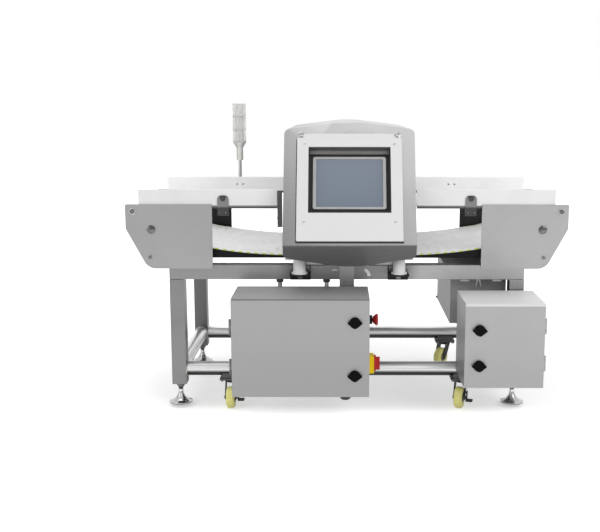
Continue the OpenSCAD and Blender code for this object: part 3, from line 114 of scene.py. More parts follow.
def own_place(tree):
    """A point's place in the machine's frame, which is every piece's own frame too."""
    return node(tree, "TexCoord").outputs["Object"]


def along_axis(tree, vector, axis):
    """The X, Y or Z part of a place or a direction."""
    return fill(node(tree, "SeparateXYZ"), {0: vector})[axis]


def grey(level):
    return (level, level, level)


def seen_directly(tree):
    """1 for the rays that see the white studio: camera, mirror and glass rays."""
    ray = node(tree, "LightPath").outputs
    total = maths(tree, "ADD", ray["Is Camera Ray"], ray["Is Glossy Ray"])
    return maths(tree, "ADD", total, ray["Is Transmission Ray"], clamp=True)


def light_studio():
    """A pale room that lights the machine, and a white one for the rays that see it directly."""
    world = bpy.data.worlds.new("studio")
    scene.world = world
    world.use_nodes = True
    tree = world.node_tree
    tree.nodes.clear()
    out = node(tree, "OutputWorld")
    way = node(tree, "TexCoord").outputs["Generated"]
    height, depth = along_axis(tree, way, "Z"), along_axis(tree, way, "Y")
    pale = remap(tree, height, -0.3, 0.9, 0.60, 0.80)
    room = fill(node(tree, "Background"), {"Color": grey(1), "Strength": pale})
    behind = remap(tree, depth, -0.35, 0.75)
    above = remap(tree, height, 0.2, 0.9, 0.0, 0.8)
    seen_by_camera = node(tree, "LightPath").outputs["Is Camera Ray"]
    white = maths(tree, "MAXIMUM", maths(tree, "MAXIMUM", behind, above), seen_by_camera)
    backdrop = fill(node(tree, "Background"), {0: mix(tree, white, (0.60, 0.60, 0.61), grey(1))})
    both = {0: seen_directly(tree), 1: room[0], 2: backdrop[0]}
    feed(out.inputs[0], fill(node(tree, "MixShader"), both)[0])


def softbox(name, place, aim, size, watts):
    """A soft rectangular lamp at one place, turned towards another."""
    lamp = bpy.data.lights.new(name, "AREA")
    lamp.shape = "RECTANGLE"
    lamp.size, lamp.size_y = size
    lamp.energy = watts
    holder = placed(name, lamp)
    holder.location = place
    holder.rotation_euler = (Vector(aim) - Vector(place)).to_track_quat("-Z", "Y").to_euler()
    holder.visible_camera = False


def lay_floor():
    """A matt floor that glows for the camera, less so under the machine, where its shadow lies."""
    sheet = bmesh.new()
    bmesh.ops.create_grid(sheet, x_segments=8, y_segments=8, size=9.0)
    data = bpy.data.meshes.new("studio_floor")
    sheet.to_mesh(data)
    floor = placed("studio_floor", data)
    look = bpy.data.materials.new("studio_floor")
    look.use_nodes = True
    tree = look.node_tree
    tree.nodes.clear()
    out = node(tree, "OutputMaterial")
    matt = fill(node(tree, "BsdfDiffuse"), {"Color": grey(0.72)})
    apart = fill(node(tree, "VectorMath", operation="LENGTH"), {0: own_place(tree)})
    shaded, white = 0.46, 0.95
    far = remap(tree, apart["Value"], 0.8, 2.4, shaded, white)
    # Painted light: the floor in front of the machine is made to glow white, so its shadow ends at
    # the machine's front.
    front = remap(tree, along_axis(tree, own_place(tree), "Y"), -0.17, -0.36, shaded, white)
    level = maths(tree, "MAXIMUM", far, front)
    strength = times(tree, seen_directly(tree), level)
    glow = fill(node(tree, "Emission"), {"Color": grey(1), "Strength": strength})
    feed(out.inputs[0], fill(node(tree, "AddShader"), {0: matt[0], 1: glow[0]})[0])
    data.materials.append(look)


light_studio()
machine_middle = (0, 0, 0.5)
softbox("key_softbox", (2.2, -2.6, 2.3), machine_middle, (2.4, 1.8), 42)
softbox("fill_softbox", (-2.4, -2.4, 1.4), machine_middle, (1.8, 1.8), 14)
softbox("top_softbox", (-0.7, 0.2, 3.3), machine_middle, (3.0, 2.0), 22)
lay_floor()


# Frame. Square legs and rails and round lower tubes of stainless steel, ground
# satin along their length and welded; each joint keeps its small ripple of weld.
def effect(name, inputs, outputs):
    """An empty shader node group with the given sockets, its input node and its output node."""
    group = bpy.data.node_groups.new(name, "ShaderNodeTree")
    for title, kind, value in inputs:
        socket = group.interface.new_socket(title, in_out="INPUT", socket_type="NodeSocket" + kind)
        socket.default_value = value
    for title in outputs:
        group.interface.new_socket(title, in_out="OUTPUT", socket_type="NodeSocketFloat")
    return group, group.nodes.new("NodeGroupInput"), group.nodes.new("NodeGroupOutput")


def noise(tree, where, scale, detail, kind="FBM"):
    made = node(tree, "TexNoise", noise_type=kind)
    return fill(made, {"Vector": where, "Scale": scale, "Detail": detail})[0]


def stretched(tree, stretch):
    """A point's place with each axis multiplied, so that noise is drawn out along the smallest."""
    made = node(tree, "VectorMath", operation="MULTIPLY")
    return fill(made, {0: own_place(tree), 1: stretch})[0]


def make_grinding():
    """Fine scratches drawn out along one direction over uneven bands, and marks left by hands."""
    group, given, result = effect(
        "grinding", [("Stretch", "Vector", (1.0, 1.0, 1.0)), ("Blotch", "Float", 7.0)],
        ["Streak", "Marks"])
    drawn = stretched(group, given.outputs["Stretch"])
    fine = noise(group, drawn, 1.0, 3.0)
    broad = noise(group, drawn, 0.13, 1.0)
    both = maths(group, "ADD", times(group, fine, 0.65), times(group, broad, 0.35))
    feed(result.inputs["Streak"], remap(group, both, 0.3, 0.7, how="LINEAR"))
    stain = noise(group, own_place(group), given.outputs["Blotch"], 4.0)
    feed(result.inputs["Marks"], remap(group, stain, 0.45, 0.75))
    return group


def make_shading(name, coordinate):
    """0 where the coordinate reaches From along a direction and 1 where it reaches To."""
    inputs = [("Direction", "Vector", (0, 0, 1)), ("From", "Float", 0), ("To", "Float", 1)]
    group, given, result = effect(name, inputs, ["Share"])
    where = node(group, "TexCoord").outputs[coordinate]
    along = node(group, "VectorMath", operation="DOT_PRODUCT")
    along = fill(along, {0: where, 1: given.outputs["Direction"]})["Value"]
    share = remap(group, along, given.outputs["From"], given.outputs["To"])
    feed(result.inputs["Share"], share)
    return group


def use(tree, group, **values):
    """Places an effect in a material with its own values, and returns what it puts out."""
    return fill(node(tree, "Group", node_tree=group), values)


def start_material(name, roughness, metallic=0.0):
    look = bpy.data.materials.new(name)
    look.use_nodes = True
    shader = look.node_tree.nodes["Principled BSDF"]
    fill(shader, {"Metallic": metallic, "Roughness": roughness})
    return look, look.node_tree, shader


def raise_grain(shader, height, distance, strength=1.0):
    bump = node(shader.id_data, "Bump")
    raised = fill(bump, {"Strength": strength, "Distance": distance, "Height": height})
    feed(shader.inputs["Normal"], raised[0])


right_way, left_way = (1, 0, 0), (-1, 0, 0)
front_way, back_way = (0, -1, 0), (0, 1, 0)
up_way, down_way = (0, 0, 1), (0, 0, -1)


def past(tree, way, start, end):
    """1 on what lies beyond end in one direction from the origin, and 0 short of start."""
    return use(tree, tone_by_place, Direction=way, From=start, To=end)["Share"]


def facing(tree, way, start=0.6, end=0.9):
    """1 on the faces that look one way, and 0 on those that look well away from it."""
    return use(tree, tone_by_facing, Direction=way, From=start, To=end)["Share"]


def paint(shader, tone):
    feed(shader.inputs["Base Color"], tone)


def shade(tree, colour, share, amount):
    """Darkens a colour to the given amount of itself where share is 1."""
    return mix(tree, times(tree, share, 1 - amount), colour, (0, 0, 0))


def shade_base(shader, share, amount):
    """Darkens what already feeds a shader's base colour."""
    tone = shader.inputs["Base Color"].links[0].from_socket
    paint(shader, shade(shader.id_data, tone, share, amount))


def inner_side(tree):
    """1 on the faces that look across the machine's middle from its left or its right half."""
    left_half = times(tree, facing(tree, right_way), past(tree, left_way, 0.0, 0.01))
    right_half = times(tree, facing(tree, left_way), past(tree, right_way, 0.0, 0.01))
    return maths(tree, "ADD", left_half, right_half)


def ground_steel(name, dark, light, stretch, rough=(0.34, 0.46), tint=(1.0, 1.0, 1.0), shades=()):
    """Satin ground steel: two near greys in drawn-out streaks, dulled where hands have touched
    it. Each of the shades is painted shade that darkens it towards a place or on the faces
    that look one way."""
    look, tree, shader = start_material(name, rough[0], 0.92)
    marks = use(tree, grinding, Stretch=stretch)
    low = tuple(dark * t for t in tint)
    high = tuple(light * t for t in tint)
    touched = tuple(0.9 * v for v in low)
    tone = mix(tree, marks["Streak"], low, high)
    tone = mix(tree, times(tree, marks["Marks"], 0.5), tone, touched)
    for where, way, start, end, amount in shades:
        tone = shade(tree, tone, where(tree, way, start, end), amount)
    paint(shader, tone)
    worn = maths(tree, "ADD", times(tree, marks["Streak"], 0.6), times(tree, marks["Marks"], 0.4))
    feed(shader.inputs["Roughness"], remap(tree, worn, 0.0, 1.0, *rough, how="LINEAR"))
    raise_grain(shader, marks["Streak"], 0.00004, 0.4)
    return look, tree, shader


def soften(part, corner):
    """Rounds the edges sharper than 40 degrees, so that they catch the light."""
    edge = part.modifiers.new("soft_edges", "BEVEL")
    edge.width = corner
    edge.segments = 2
    edge.limit_method = "ANGLE"
    edge.angle_limit = math.radians(40)
    return edge


def dress(name, look, corner=0.0008):
    """Gives a modelled part its material and soft edges."""
    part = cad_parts[name]
    for slot in part.material_slots:
        slot.material = look
    if corner:
        joined = part.modifiers.new("join_seams", "WELD")
        joined.merge_threshold = 0.00002
        soften(part, corner).harden_normals = True


def round_section(radius, sides=8):
    turns = [2 * math.pi * j / sides for j in range(sides)]
    return [(radius * math.cos(turn), radius * math.sin(turn)) for turn in turns]


class Piece:
    """The corners and faces of one piece, gathered before they become a mesh."""

    def __init__(self, name):
        self.name = name
        self.corners = []
        self.faces = []

    def ring_faces(self, start, count, sides, close=False):
        """Joins each ring of corners to the next, and the last to the first or caps them both."""
        for k in range(count if close else count - 1):
            a, b = start + k * sides, start + (k + 1) % count * sides
            for j in range(sides):
                n = (j + 1) % sides
                self.faces.append((a + j, a + n, b + n, b + j))
        if not close:
            self.faces.append(tuple(range(start + sides - 1, start - 1, -1)))
            last = start + (count - 1) * sides
            self.faces.append(tuple(range(last, last + sides)))

    def turned(self, at, along, profile, sides=24):
        """A turned form: profile is (distance along the axis, radius) from end to end."""
        spin = Vector(along).normalized().to_track_quat("Z", "X").to_matrix()
        start = len(self.corners)
        for d, r in profile:
            for x, y in round_section(r, sides):
                self.corners.append(Vector(at) + spin @ Vector((x, y, d)))
        self.ring_faces(start, len(profile), sides)

    def swept(self, path, section, close=False, up=(0, 0, 1)):
        """A section of (side, up) points carried along a path."""
        start = len(self.corners)
        path = [Vector(p) for p in path]
        count = len(path)
        for k, p in enumerate(path):
            before = path[(k - 1) % count] if close or k else p
            after = path[(k + 1) % count] if close or k < count - 1 else p
            way = (after - before).normalized()
            side = way.cross(Vector(up)).normalized()
            rise = side.cross(way)
            for s, h in section:
                self.corners.append(p + side * s + rise * h)
        self.ring_faces(start, count, len(section), close)

    def made(self, look, finish, body="frame", smooth=40, corner=0.0):
        """Makes the piece, smooth over edges up to that many degrees, to ride on a body."""
        data = bpy.data.meshes.new(self.name)
        data.from_pydata([tuple(c) for c in self.corners], [], self.faces)
        form = bmesh.new()
        form.from_mesh(data)
        bmesh.ops.recalc_face_normals(form, faces=form.faces)
        for edge in form.edges:
            bend = edge.calc_face_angle(0)
            edge.smooth = len(edge.link_faces) == 2 and bend < math.radians(smooth)
        for face in form.faces:
            face.smooth = True
        form.to_mesh(data)
        form.free()
        piece = placed(self.name, data)
        data.materials.append(look)
        if corner:
            soften(piece, corner)
        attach(piece, body)
        return piece


def circle_path(centre, radius, axis):
    spin = Vector(axis).normalized().to_track_quat("Z", "X").to_matrix()
    return [Vector(centre) + spin @ Vector((*point, 0)) for point in round_section(radius, 48)]


grinding = make_grinding()
tone_by_place = make_shading("tone_by_place", "Object")
tone_by_facing = make_shading("tone_by_facing", "Normal")
four_corners = [(-1, -1), (-1, 1), (1, -1), (1, 1)]
middle = 0.0845  # the conveyor's middle line, which lies behind the middle of the whole machine
leg_x, leg_y = 0.5825, 0.263
along_x, along_z = (9, 700, 700), (700, 700, 9)
# Painted shade: the frame is darkened towards the back and towards its left side, where less light
# falls.
far_shade = (past, back_way, 0.1, 0.3, 0.66)
left_shade = (past, left_way, 0.0, 0.55, 0.66)
frame_shades = [far_shade, left_shade]
rail_steel, rail_tree, rail_shader = ground_steel(
    "rail_steel", 0.32, 0.345, along_x, shades=frame_shades)
# Painted shadow of the head on the front rail below it.
head_shadow_on_rail = times(rail_tree, past(rail_tree, right_way, -0.25, -0.19),
                   past(rail_tree, left_way, -0.26, -0.20))
shade_base(rail_shader, head_shadow_on_rail, 0.58)
leg_steel, leg_tree, leg_shader = ground_steel(
    "leg_steel", 0.275, 0.30, along_z, shades=frame_shades)
# Painted shade on the legs' inner sides.
shade_base(leg_shader, inner_side(leg_tree), 0.22)


def tube_look():
    """Polished tube with painted light and shade: pale on top, a thin painted grey band, a bright
    one in front, painted shade underneath, and the far tube painted nearly white.
    """
    look, tree, shader = start_material("tube_steel", 0.34, 0.9)
    marks = use(tree, grinding, Stretch=along_x)
    near_tone = mix(tree, marks["Streak"], grey(0.82), grey(0.90))
    # Painted reflection: a grey band on the faces that look partly up.
    rising = facing(tree, up_way, 0.44, 0.58)
    upward = facing(tree, up_way, 0.76, 0.86)
    painted_bands = shade(tree, near_tone, maths(tree, "SUBTRACT", rising, upward), 0.66)
    # Painted light: the far tube is painted nearly white.
    far = past(tree, back_way, 0.1, 0.3)
    paint(shader, mix(tree, far, painted_bands, grey(0.98)))
    # Painted shade on the underside.
    shade_base(shader, facing(tree, down_way, -0.35, 0.40), 0.04)
    return look


def weld_bead():
    look, tree, shader = start_material("weld_bead", 0.38, 0.95)
    ripple = noise(tree, own_place(tree), 420, 2.0)
    paint(shader, mix(tree, ripple, (0.30, 0.28, 0.26), (0.52, 0.50, 0.47)))
    raise_grain(shader, ripple, 0.0005)
    return look


dress("frame_legs", leg_steel, 0.0018)
dress("top_rails", rail_steel, 0.0018)
dress("lower_tubes", tube_look(), 0.0)
welds = Piece("frame_welds")
leg_face, tube_r, tube_z, rail_under = 0.0255, 0.0262, 0.134, 0.4546
bead, thin_bead = round_section(0.0022), round_section(0.002)
for sx, sy in four_corners:
    y = middle + sy * leg_y
    long_end = (sx * (leg_x - leg_face), y, tube_z)
    cross_end = (sx * leg_x, y - sy * leg_face, tube_z)
    welds.swept(circle_path(long_end, tube_r, right_way), bead, True, right_way)
    welds.swept(circle_path(cross_end, tube_r, back_way), thin_bead, True, back_way)
    x = sx * leg_x - sx * (leg_face + 0.0001)
    welds.swept([(x, y + reach, rail_under) for reach in (-0.024, 0, 0.024)], bead)
welds.made(weld_bead(), "frame_steel", smooth=80)


# Side plates. Four 5 mm stainless plates, ground satin and cut to the sloping
# outline, with the shaft's end, a large bolt and a small one showing on each.
# Painted shade: the plates are darker towards the left, and the far plates' inner faces are painted
# nearly black.
plate_shades = [(past, left_way, 0.2, 0.45, 0.86)]
plate_steel, plate_tree, plate_shader = ground_steel(
    "plate_steel", 0.345, 0.36, (6, 500, 800), rough=(0.40, 0.48), shades=plate_shades)
far_inside_shade = times(plate_tree, past(plate_tree, back_way, 0.2, 0.25),
                   facing(plate_tree, front_way, 0.3, 0.6))
shade_base(plate_shader, far_inside_shade, 0.10)
dress("side_plates", plate_steel, 0.001)
bright = ground_steel("turned_steel", 0.42, 0.62, (300, 300, 300), rough=(0.22, 0.34))[0]
dress("tie_bars", bright, 0.0)
bolt_zinc = ground_steel("bolt_steel", 0.09, 0.18, (500, 500, 500), rough=(0.16, 0.28))[0]


def hex_bolt(piece, at, along, across, height, washer=0.0, washer_t=0.0):
    """A washer, a six-sided head with a chamfered top, and a small ring pressed into that top.
    The sizes are the width across the flats, the height, and the washer's radius and thickness."""
    if washer_t:
        rim = [(0, washer * 0.55), (0, washer), (washer_t * 0.8, washer), (washer_t, washer * 0.97)]
        piece.turned(at, along, rim + [(washer_t, washer * 0.5)], 32)
    r = across / math.sqrt(3)
    top = washer_t + height
    chamfer = [(top - height * 0.12, r), (top, r * 0.86)]
    piece.turned(at, along, [(washer_t * 0.9, r * 0.9), (washer_t, r)] + chamfer, 6)
    ring = [(top - 0.0002, r * 0.72), (top + 0.0001, r * 0.7), (top - 0.0002, r * 0.6)]
    piece.turned(at, along, ring, 24)


def socket_screw(piece, at, along, radius, height):
    """A button head with a rounded rim and a round recess sunk into it."""
    rim = [(0, radius * 0.6), (0, radius), (height * 0.35, radius), (height * 0.75, radius * 0.85)]
    socket = [(height, radius * 0.6), (height * 0.98, radius * 0.42), (height * 0.4, radius * 0.38)]
    piece.turned(at, along, rim + socket, 24)


bolts = Piece("plate_bolts")
washers = Piece("plate_washers")
plate_face, washer_t = 0.2932, 0.0019
large_bolt = (0.725, 0.689, 0.016, 0.0055, 0.0115)
small_bolt = (0.670, 0.532, 0.0105, 0.004, 0.0065)
for sx, sy in four_corners:
    face = middle + sy * plate_face
    for x, z, across, height, washer in (large_bolt, small_bolt):
        rim = [(0, washer * 0.5), (0, washer), (0.0015, washer), (washer_t, washer * 0.96)]
        washers.turned((sx * x, face, z), (0, sy, 0), rim + [(washer_t, washer * 0.5)], 32)
        hex_bolt(bolts, (sx * x, face + sy * washer_t, z), (0, sy, 0), across, height)
bolts.made(bolt_zinc, "bright_steel", smooth=30)
washers.made(bright, "bright_steel", smooth=30)

roller_x, roller_z = 0.664, 0.627
shaft_nut = (0.0235, 0.0066, 0.0145, 0.001)
for name, sx, ends in (("tail", -1, (-1, 1)), ("drive", 1, (-1,))):
    nuts = Piece(name + "_shaft_nuts")
    for sy in ends:
        shaft_end = (sx * roller_x, middle + sy * (plate_face + 0.0002), roller_z)
        hex_bolt(nuts, shaft_end, (0, sy, 0), *shaft_nut)
    nuts.made(bolt_zinc, "bright_steel", name + "_roller", smooth=30)
dress("roller_bearings", start_material("bearing_housing", 0.5)[0])
dress("tail_roller", bright, 0.0)
dress("drive_roller", bright, 0.0)


# Belt and bed. A white food belt 3 mm thick with yellow-green edge stitches
# runs over a black coated bed that dips under the head.
def make_moulded():
    """The fine grain and faint unevenness of moulded or rolled material."""
    group, given, result = effect(
        "moulded_grain", [("Size", "Float", 900.0), ("Blotch", "Float", 12.0)],
        ["Grain", "Unevenness"])
    where = own_place(group)
    feed(result.inputs["Grain"], noise(group, where, given.outputs["Size"], 2.0))
    feed(result.inputs["Unevenness"], noise(group, where, given.outputs["Blotch"], 3.0))
    return group


moulded_grain = make_moulded()


def moulded(name, colour, rough, size=900.0, depth=0.00005, contrast=0.12, coat=0.0, sheen=0.5):
    """Moulded or painted material in one colour, a little uneven from place to place."""
    look, tree, shader = start_material(name, rough)
    grain = use(tree, moulded_grain, Size=size)
    low = tuple(v * (1 - contrast) for v in colour)
    high = tuple(min(1.0, v * (1 + contrast)) for v in colour)
    paint(shader, mix(tree, grain["Unevenness"], low, high))
    dull = remap(tree, grain["Grain"], 0.0, 1.0, max(0.03, rough - 0.06), rough + 0.06, "LINEAR")
    raise_grain(shader, grain["Grain"], depth, 0.6)
    fill(shader, {"Roughness": dull, "Coat Weight": coat, "Specular IOR Level": sheen})
    return look


def belt_cloth():
    """White cloth, crumpled across its run, with painted highlights on its creases and painted
    shade on its right half, and a little greyer towards its far edge.
    """
    look, tree, shader = start_material("belt_cloth", 0.6)
    grain = use(tree, moulded_grain, Size=260.0, Blotch=9.0)
    creases = noise(tree, stretched(tree, (26.0, 9.0, 9.0)), 1.0, 2.0, "RIDGED_MULTIFRACTAL")
    near = past(tree, front_way, -0.30, 0.12)
    cloth = mix(tree, near, grey(0.86), grey(0.97))
    uneven = shade(tree, cloth, times(tree, grain["Unevenness"], 0.5), 0.68)
    # Painted highlight on the crease ridges.
    crease_highlight = maths(tree, "MULTIPLY", creases, 0.3, clamp=True)
    paint(shader, mix(tree, crease_highlight, uneven, (1.0, 1.0, 0.99)))
    # Painted shade on the belt's right half.
    shade_base(shader, past(tree, right_way, -0.1, 0.2), 0.90)
    height = maths(tree, "ADD", times(tree, creases, 0.7), times(tree, grain["Grain"], 0.08))
    raise_grain(shader, height, 0.011, 1.0)
    return look


dress("conveyor_belt", belt_cloth(), 0.0004)
dress("slider_bed", moulded("bed_coating", (0.006, 0.006, 0.007), 0.6, size=500, sheen=0.15), 0.001)

# The belt's line: level under the head, a curve up to a knee, and a steeper one on to the roller
flat_x, knee_x, belt_low, belt_rise = 0.184, 0.457, 0.539, 0.023
wrap, lift = 0.0413, math.radians(55)
leave_x, leave_z = roller_x - wrap * math.sin(lift), roller_z + wrap * math.cos(lift)
knee_z, knee_slope = belt_low + belt_rise, 2 * belt_rise / (knee_x - flat_x)


def belt_top(x):
    """The belt's upper face at a distance x from the machine's middle, and its slope there."""
    x = abs(x)
    if x <= flat_x:
        return belt_low, 0.0
    if x <= knee_x:
        share = (x - flat_x) / (knee_x - flat_x)
        return belt_low + belt_rise * share ** 2, knee_slope * share
    span = leave_x - knee_x
    t = (x - knee_x) / span
    height = ((2 * t ** 3 - 3 * t ** 2 + 1) * knee_z + (t ** 3 - 2 * t ** 2 + t) * knee_slope * span
              + (3 * t ** 2 - 2 * t ** 3) * leave_z + (t ** 3 - t ** 2) * math.tan(lift) * span)
    slope = ((6 * t * t - 6 * t) * (knee_z - leave_z) / span + (3 * t * t - 4 * t + 1) * knee_slope
             + (3 * t * t - 2 * t) * math.tan(lift))
    return height, slope


stitches = Piece("belt_stitches")
stitch_every, stitch_long, belt_edge, belt_t = 0.027, 0.013, 0.27, 0.003
first_x, last_x = 0.007, leave_x - 0.012
first_turn, last_turn = math.radians(128), math.radians(-22)
for sy, reach in ((-1, 0.0065), (1, 0.0025)):
    hem = [(-reach, 0.0), (0.0003 - reach, 0.0004), (0.0003, 0.0004), (0.0005, 0.0),
           (0.0005, -belt_t - 0.0001), (0.0, -belt_t - 0.0001)]
    section = [(-sy * out, rise) for out, rise in hem]
    edge = middle + sy * belt_edge
    for sx in (-1, 1):
        x = first_x
        while x < last_x:
            run = math.hypot(1, belt_top(x)[1])
            stations = sorted(sx * (x + stitch_long / run * k / 2) for k in range(3))
            stitches.swept([(s, edge, belt_top(s)[0]) for s in stations], section)
            x += stitch_every / run
        on_roller = section if sx > 0 else [(-s, h) for s, h in section]
        start = first_turn
        while start > last_turn:
            angles = [start - stitch_long / wrap * k / 3 for k in range(4)]
            if sx < 0:
                angles.reverse()
            arc = [(sx * (roller_x + wrap * math.cos(a)), edge, roller_z + wrap * math.sin(a))
                   for a in angles]
            stitches.swept(arc, on_roller)
            start -= stitch_every / wrap
thread = moulded("edge_thread", (0.62, 0.66, 0.10), 0.6, size=1500, depth=0.0002)
stitches.made(thread, "belt_white")


# Guide rails. White plastic boards held by dark painted brackets, whose screws
# show on the boards' inner faces, and a dark sensor bar beside the head.
def white_board():
    look, tree, shader = start_material("guide_board", 0.42)
    grain = use(tree, moulded_grain, Size=700.0, Blotch=5.0)
    rubbed = use(tree, grinding, Stretch=(12, 400, 400), Blotch=9.0)
    near_tone = mix(tree, grain["Unevenness"], grey(0.73), grey(0.83))
    # Painted light: the far boards are painted lighter, up to white.
    far_lightened = mix(tree, past(tree, back_way, 0.1, 0.2), near_tone, grey(1.0))
    rub = times(tree, rubbed["Marks"], 0.12)
    paint(shader, mix(tree, rub, far_lightened, (0.45, 0.45, 0.44)))
    raise_grain(shader, grain["Grain"], 0.00006, 0.5)
    return look


dress("guide_rails", white_board(), 0.0012)


def bracket_paint():
    """Grey on the outer plate, black on the angle under the rail and on the plate's curved top."""
    look, tree, shader = start_material("bracket_paint", 0.46)
    grain = use(tree, moulded_grain, Size=1400.0)
    plate = mix(tree, grain["Unevenness"], (0.17, 0.17, 0.175), (0.24, 0.24, 0.245))
    angle_below = past(tree, down_way, -0.708, -0.700)
    curved_top = past(tree, up_way, 0.7365, 0.7385)
    darkened = shade(tree, shade(tree, plate, angle_below, 0.13), curved_top, 0.16)
    paint(shader, darkened)
    raise_grain(shader, grain["Grain"], 0.0001, 0.6)
    return look


dress("rail_brackets", bracket_paint(), 0.0006)
sensor_grey = moulded("sensor_housing", (0.095, 0.095, 0.097), 0.5, sheen=0.3)
dress("photo_sensor", sensor_grey, 0.0005)


def bar_section(half_wide, low, high):
    """A square-cornered section, from low to high on the side that faces up the sweep."""
    return [(-half_wide, low), (half_wide, low), (half_wide, high), (-half_wide, high)]


sensor_flange = Piece("sensor_flange")
flange_path = [(-0.2221, -0.2028, z) for z in (0.6355, 0.694, 0.7525)]
sensor_flange.swept(flange_path, bar_section(0.0033, -0.0003, 0.0017), up=back_way)
sensor_flange.made(sensor_grey, "black_plastic")
black_oxide = ground_steel("black_bolt", 0.05, 0.09, (400, 400, 400), rough=(0.35, 0.5))[0]
bracket_x, bracket_face, board_face, bolt_r = 0.419, 0.2923, 0.26775, 0.0046
bracket_nut = (0.0105, 0.004, 0.009, 0.0018)
guide_screws = Piece("guide_screws")
bracket_screws = Piece("bracket_screws")
bracket_nuts = Piece("bracket_nuts")
for sx, sy in four_corners:
    inner, outer = middle + sy * board_face, middle + sy * bracket_face
    for side in (-1, 1):
        at = (sx * bracket_x + side * 0.0115, inner, 0.7345)
        socket_screw(guide_screws, at, (0, -sy, 0), bolt_r, 0.0006)
        at = (sx * bracket_x + side * 0.010, outer, 0.685)
        socket_screw(bracket_screws, at, (0, sy, 0), bolt_r, 0.0032)
    hex_bolt(bracket_nuts, (sx * bracket_x, outer, 0.733), (0, sy, 0), *bracket_nut)
guide_screws.made(bright, "bright_steel", smooth=30)
bracket_nuts.made(black_oxide, "dark_steel", smooth=30)
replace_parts(bracket_screws.made(bolt_zinc, "bright_steel", smooth=30), "fasteners")


# Detector head. A welded stainless case, ground satin; the upper front face
# leans back and the lower one turns under. Painted light and shade make the case
# lighter towards its top and its right, and dark on the faces that look down.
def head_steel():
    look, tree, shader = start_material("head_steel", 0.4)
    marks = use(tree, grinding, Stretch=(7, 500, 500), Blotch=5.0)
    # Painted light and shade: lighter towards the top and the right, darker towards the left.
    across = past(tree, right_way, -0.24, -0.05)
    upward = past(tree, up_way, 0.62, 0.99)
    dark = mix(tree, across, (0.275, 0.275, 0.277), (0.385, 0.385, 0.387))
    pale = mix(tree, across, (0.43, 0.43, 0.433), (0.58, 0.58, 0.583))
    body = mix(tree, upward, dark, pale)
    streaked = mix(tree, times(tree, marks["Streak"], 0.06), body, grey(0.75))
    # Painted shade: the faces that look down are painted dark, darker still towards the right.
    under = facing(tree, down_way, -0.05, 0.12)
    underside_shade_tone = mix(tree, marks["Streak"], grey(0.10), grey(0.125))
    right = times(tree, past(tree, right_way, 0.02, 0.12), 0.4)
    shaded = mix(tree, right, underside_shade_tone, grey(0.055))
    paint(shader, mix(tree, under, streaked, shaded))
    feed(shader.inputs["Metallic"], maths(tree, "SUBTRACT", 0.9, times(tree, under, 0.7)))
    feed(shader.inputs["Roughness"], remap(tree, marks["Marks"], 0.0, 1.0, 0.36, 0.46, "LINEAR"))
    raise_grain(shader, marks["Streak"], 0.00006, 0.5)
    return look


dress("head_shell", head_steel(), 0.001)
dress("tunnel_liner", moulded("liner_plastic", grey(0.78), 0.4), 0.0006)
copper = ground_steel("coil_copper", 0.5, 0.7, (8, 900, 900), tint=(1.0, 0.52, 0.28))[0]
dress("search_coils", copper, 0.0)


# Head cover. A white painted tray with a square opening for the screen, held by
# two large washered screws above it and four small ones on its face.
head_x = 0.008
face_lean = math.radians(24.5)
face_up = Vector((0, math.sin(face_lean), math.cos(face_lean)))
face_out = Vector((0, -math.cos(face_lean), math.sin(face_lean)))


def face_place(x, v, n):
    """A point x across, v up and n out of the head's leaning face, from its lower edge's middle."""
    return Vector((head_x + x, middle - 0.423, 0.593)) + face_up * v + face_out * n


cover_white = moulded("cover_paint", grey(0.67), 0.36, size=1800, depth=0.00003, contrast=0.02)
dress("head_cover", cover_white, 0.0016)
cover_screws = Piece("cover_screws")
top_screws = Piece("cover_top_screws")
for sx in (-1, 1):
    for v in (0.077, 0.350):
        socket_screw(cover_screws, face_place(sx * 0.150, v, 0.0091), face_out, 0.0042, 0.0018)
    at = face_place(sx * 0.161, 0.3845, 0.0053)
    rim = [(0, 0.005), (0, 0.0105), (0.0014, 0.0105), (0.0018, 0.0098), (0.0018, 0.005)]
    top_screws.turned(at, face_out, rim, 32)
    socket_screw(top_screws, at + face_out * 0.0018, face_out, 0.0075, 0.006)
cover_screws.made(bright, "bright_steel", smooth=30)
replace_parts(top_screws.made(bright, "bright_steel", smooth=30), "fasteners")
# Painted shadow as a piece: a black strip along the cover's lower and left edges stands in for the
# shadow the cover casts on the head.
cover_shadow_strip = Piece("cover_shadow_strip")
shadow_strip_x, shadow_strip_out = 0.1765, 0.0022
lower_run = [face_place(x, 0.0100, shadow_strip_out) for x in (-shadow_strip_x, 0.0, shadow_strip_x)]
left_run = [face_place(-shadow_strip_x, v, shadow_strip_out) for v in (0.0122, 0.19, 0.370)]
cover_shadow_strip.swept(lower_run, bar_section(0.0020, -0.0022, 0.0022), up=face_up)
cover_shadow_strip.swept(left_run, bar_section(0.0020, -0.0012, 0.0012), up=right_way)
cover_shadow_strip.made(moulded("cover_shadow_strip", grey(0.02), 0.7), "black_plastic")


# Screen. A black tray behind the opening, with a silver bezel round a panel of
# grey-blue glass; nothing is written on it.
def tray_black():
    look, tree, shader = start_material("tray_black", 0.5)
    grain = use(tree, moulded_grain, Size=1200.0, Blotch=10.0)
    # Painted light: the down-facing wall at the top of the opening is painted a lighter grey.
    painted_lit_wall = facing(tree, down_way, 0.6, 0.85)
    base = mix(tree, grain["Unevenness"], (0.012, 0.012, 0.013), (0.022, 0.022, 0.024))
    paint(shader, mix(tree, painted_lit_wall, base, grey(0.10)))
    raise_grain(shader, grain["Grain"], 0.00008, 0.6)
    return look


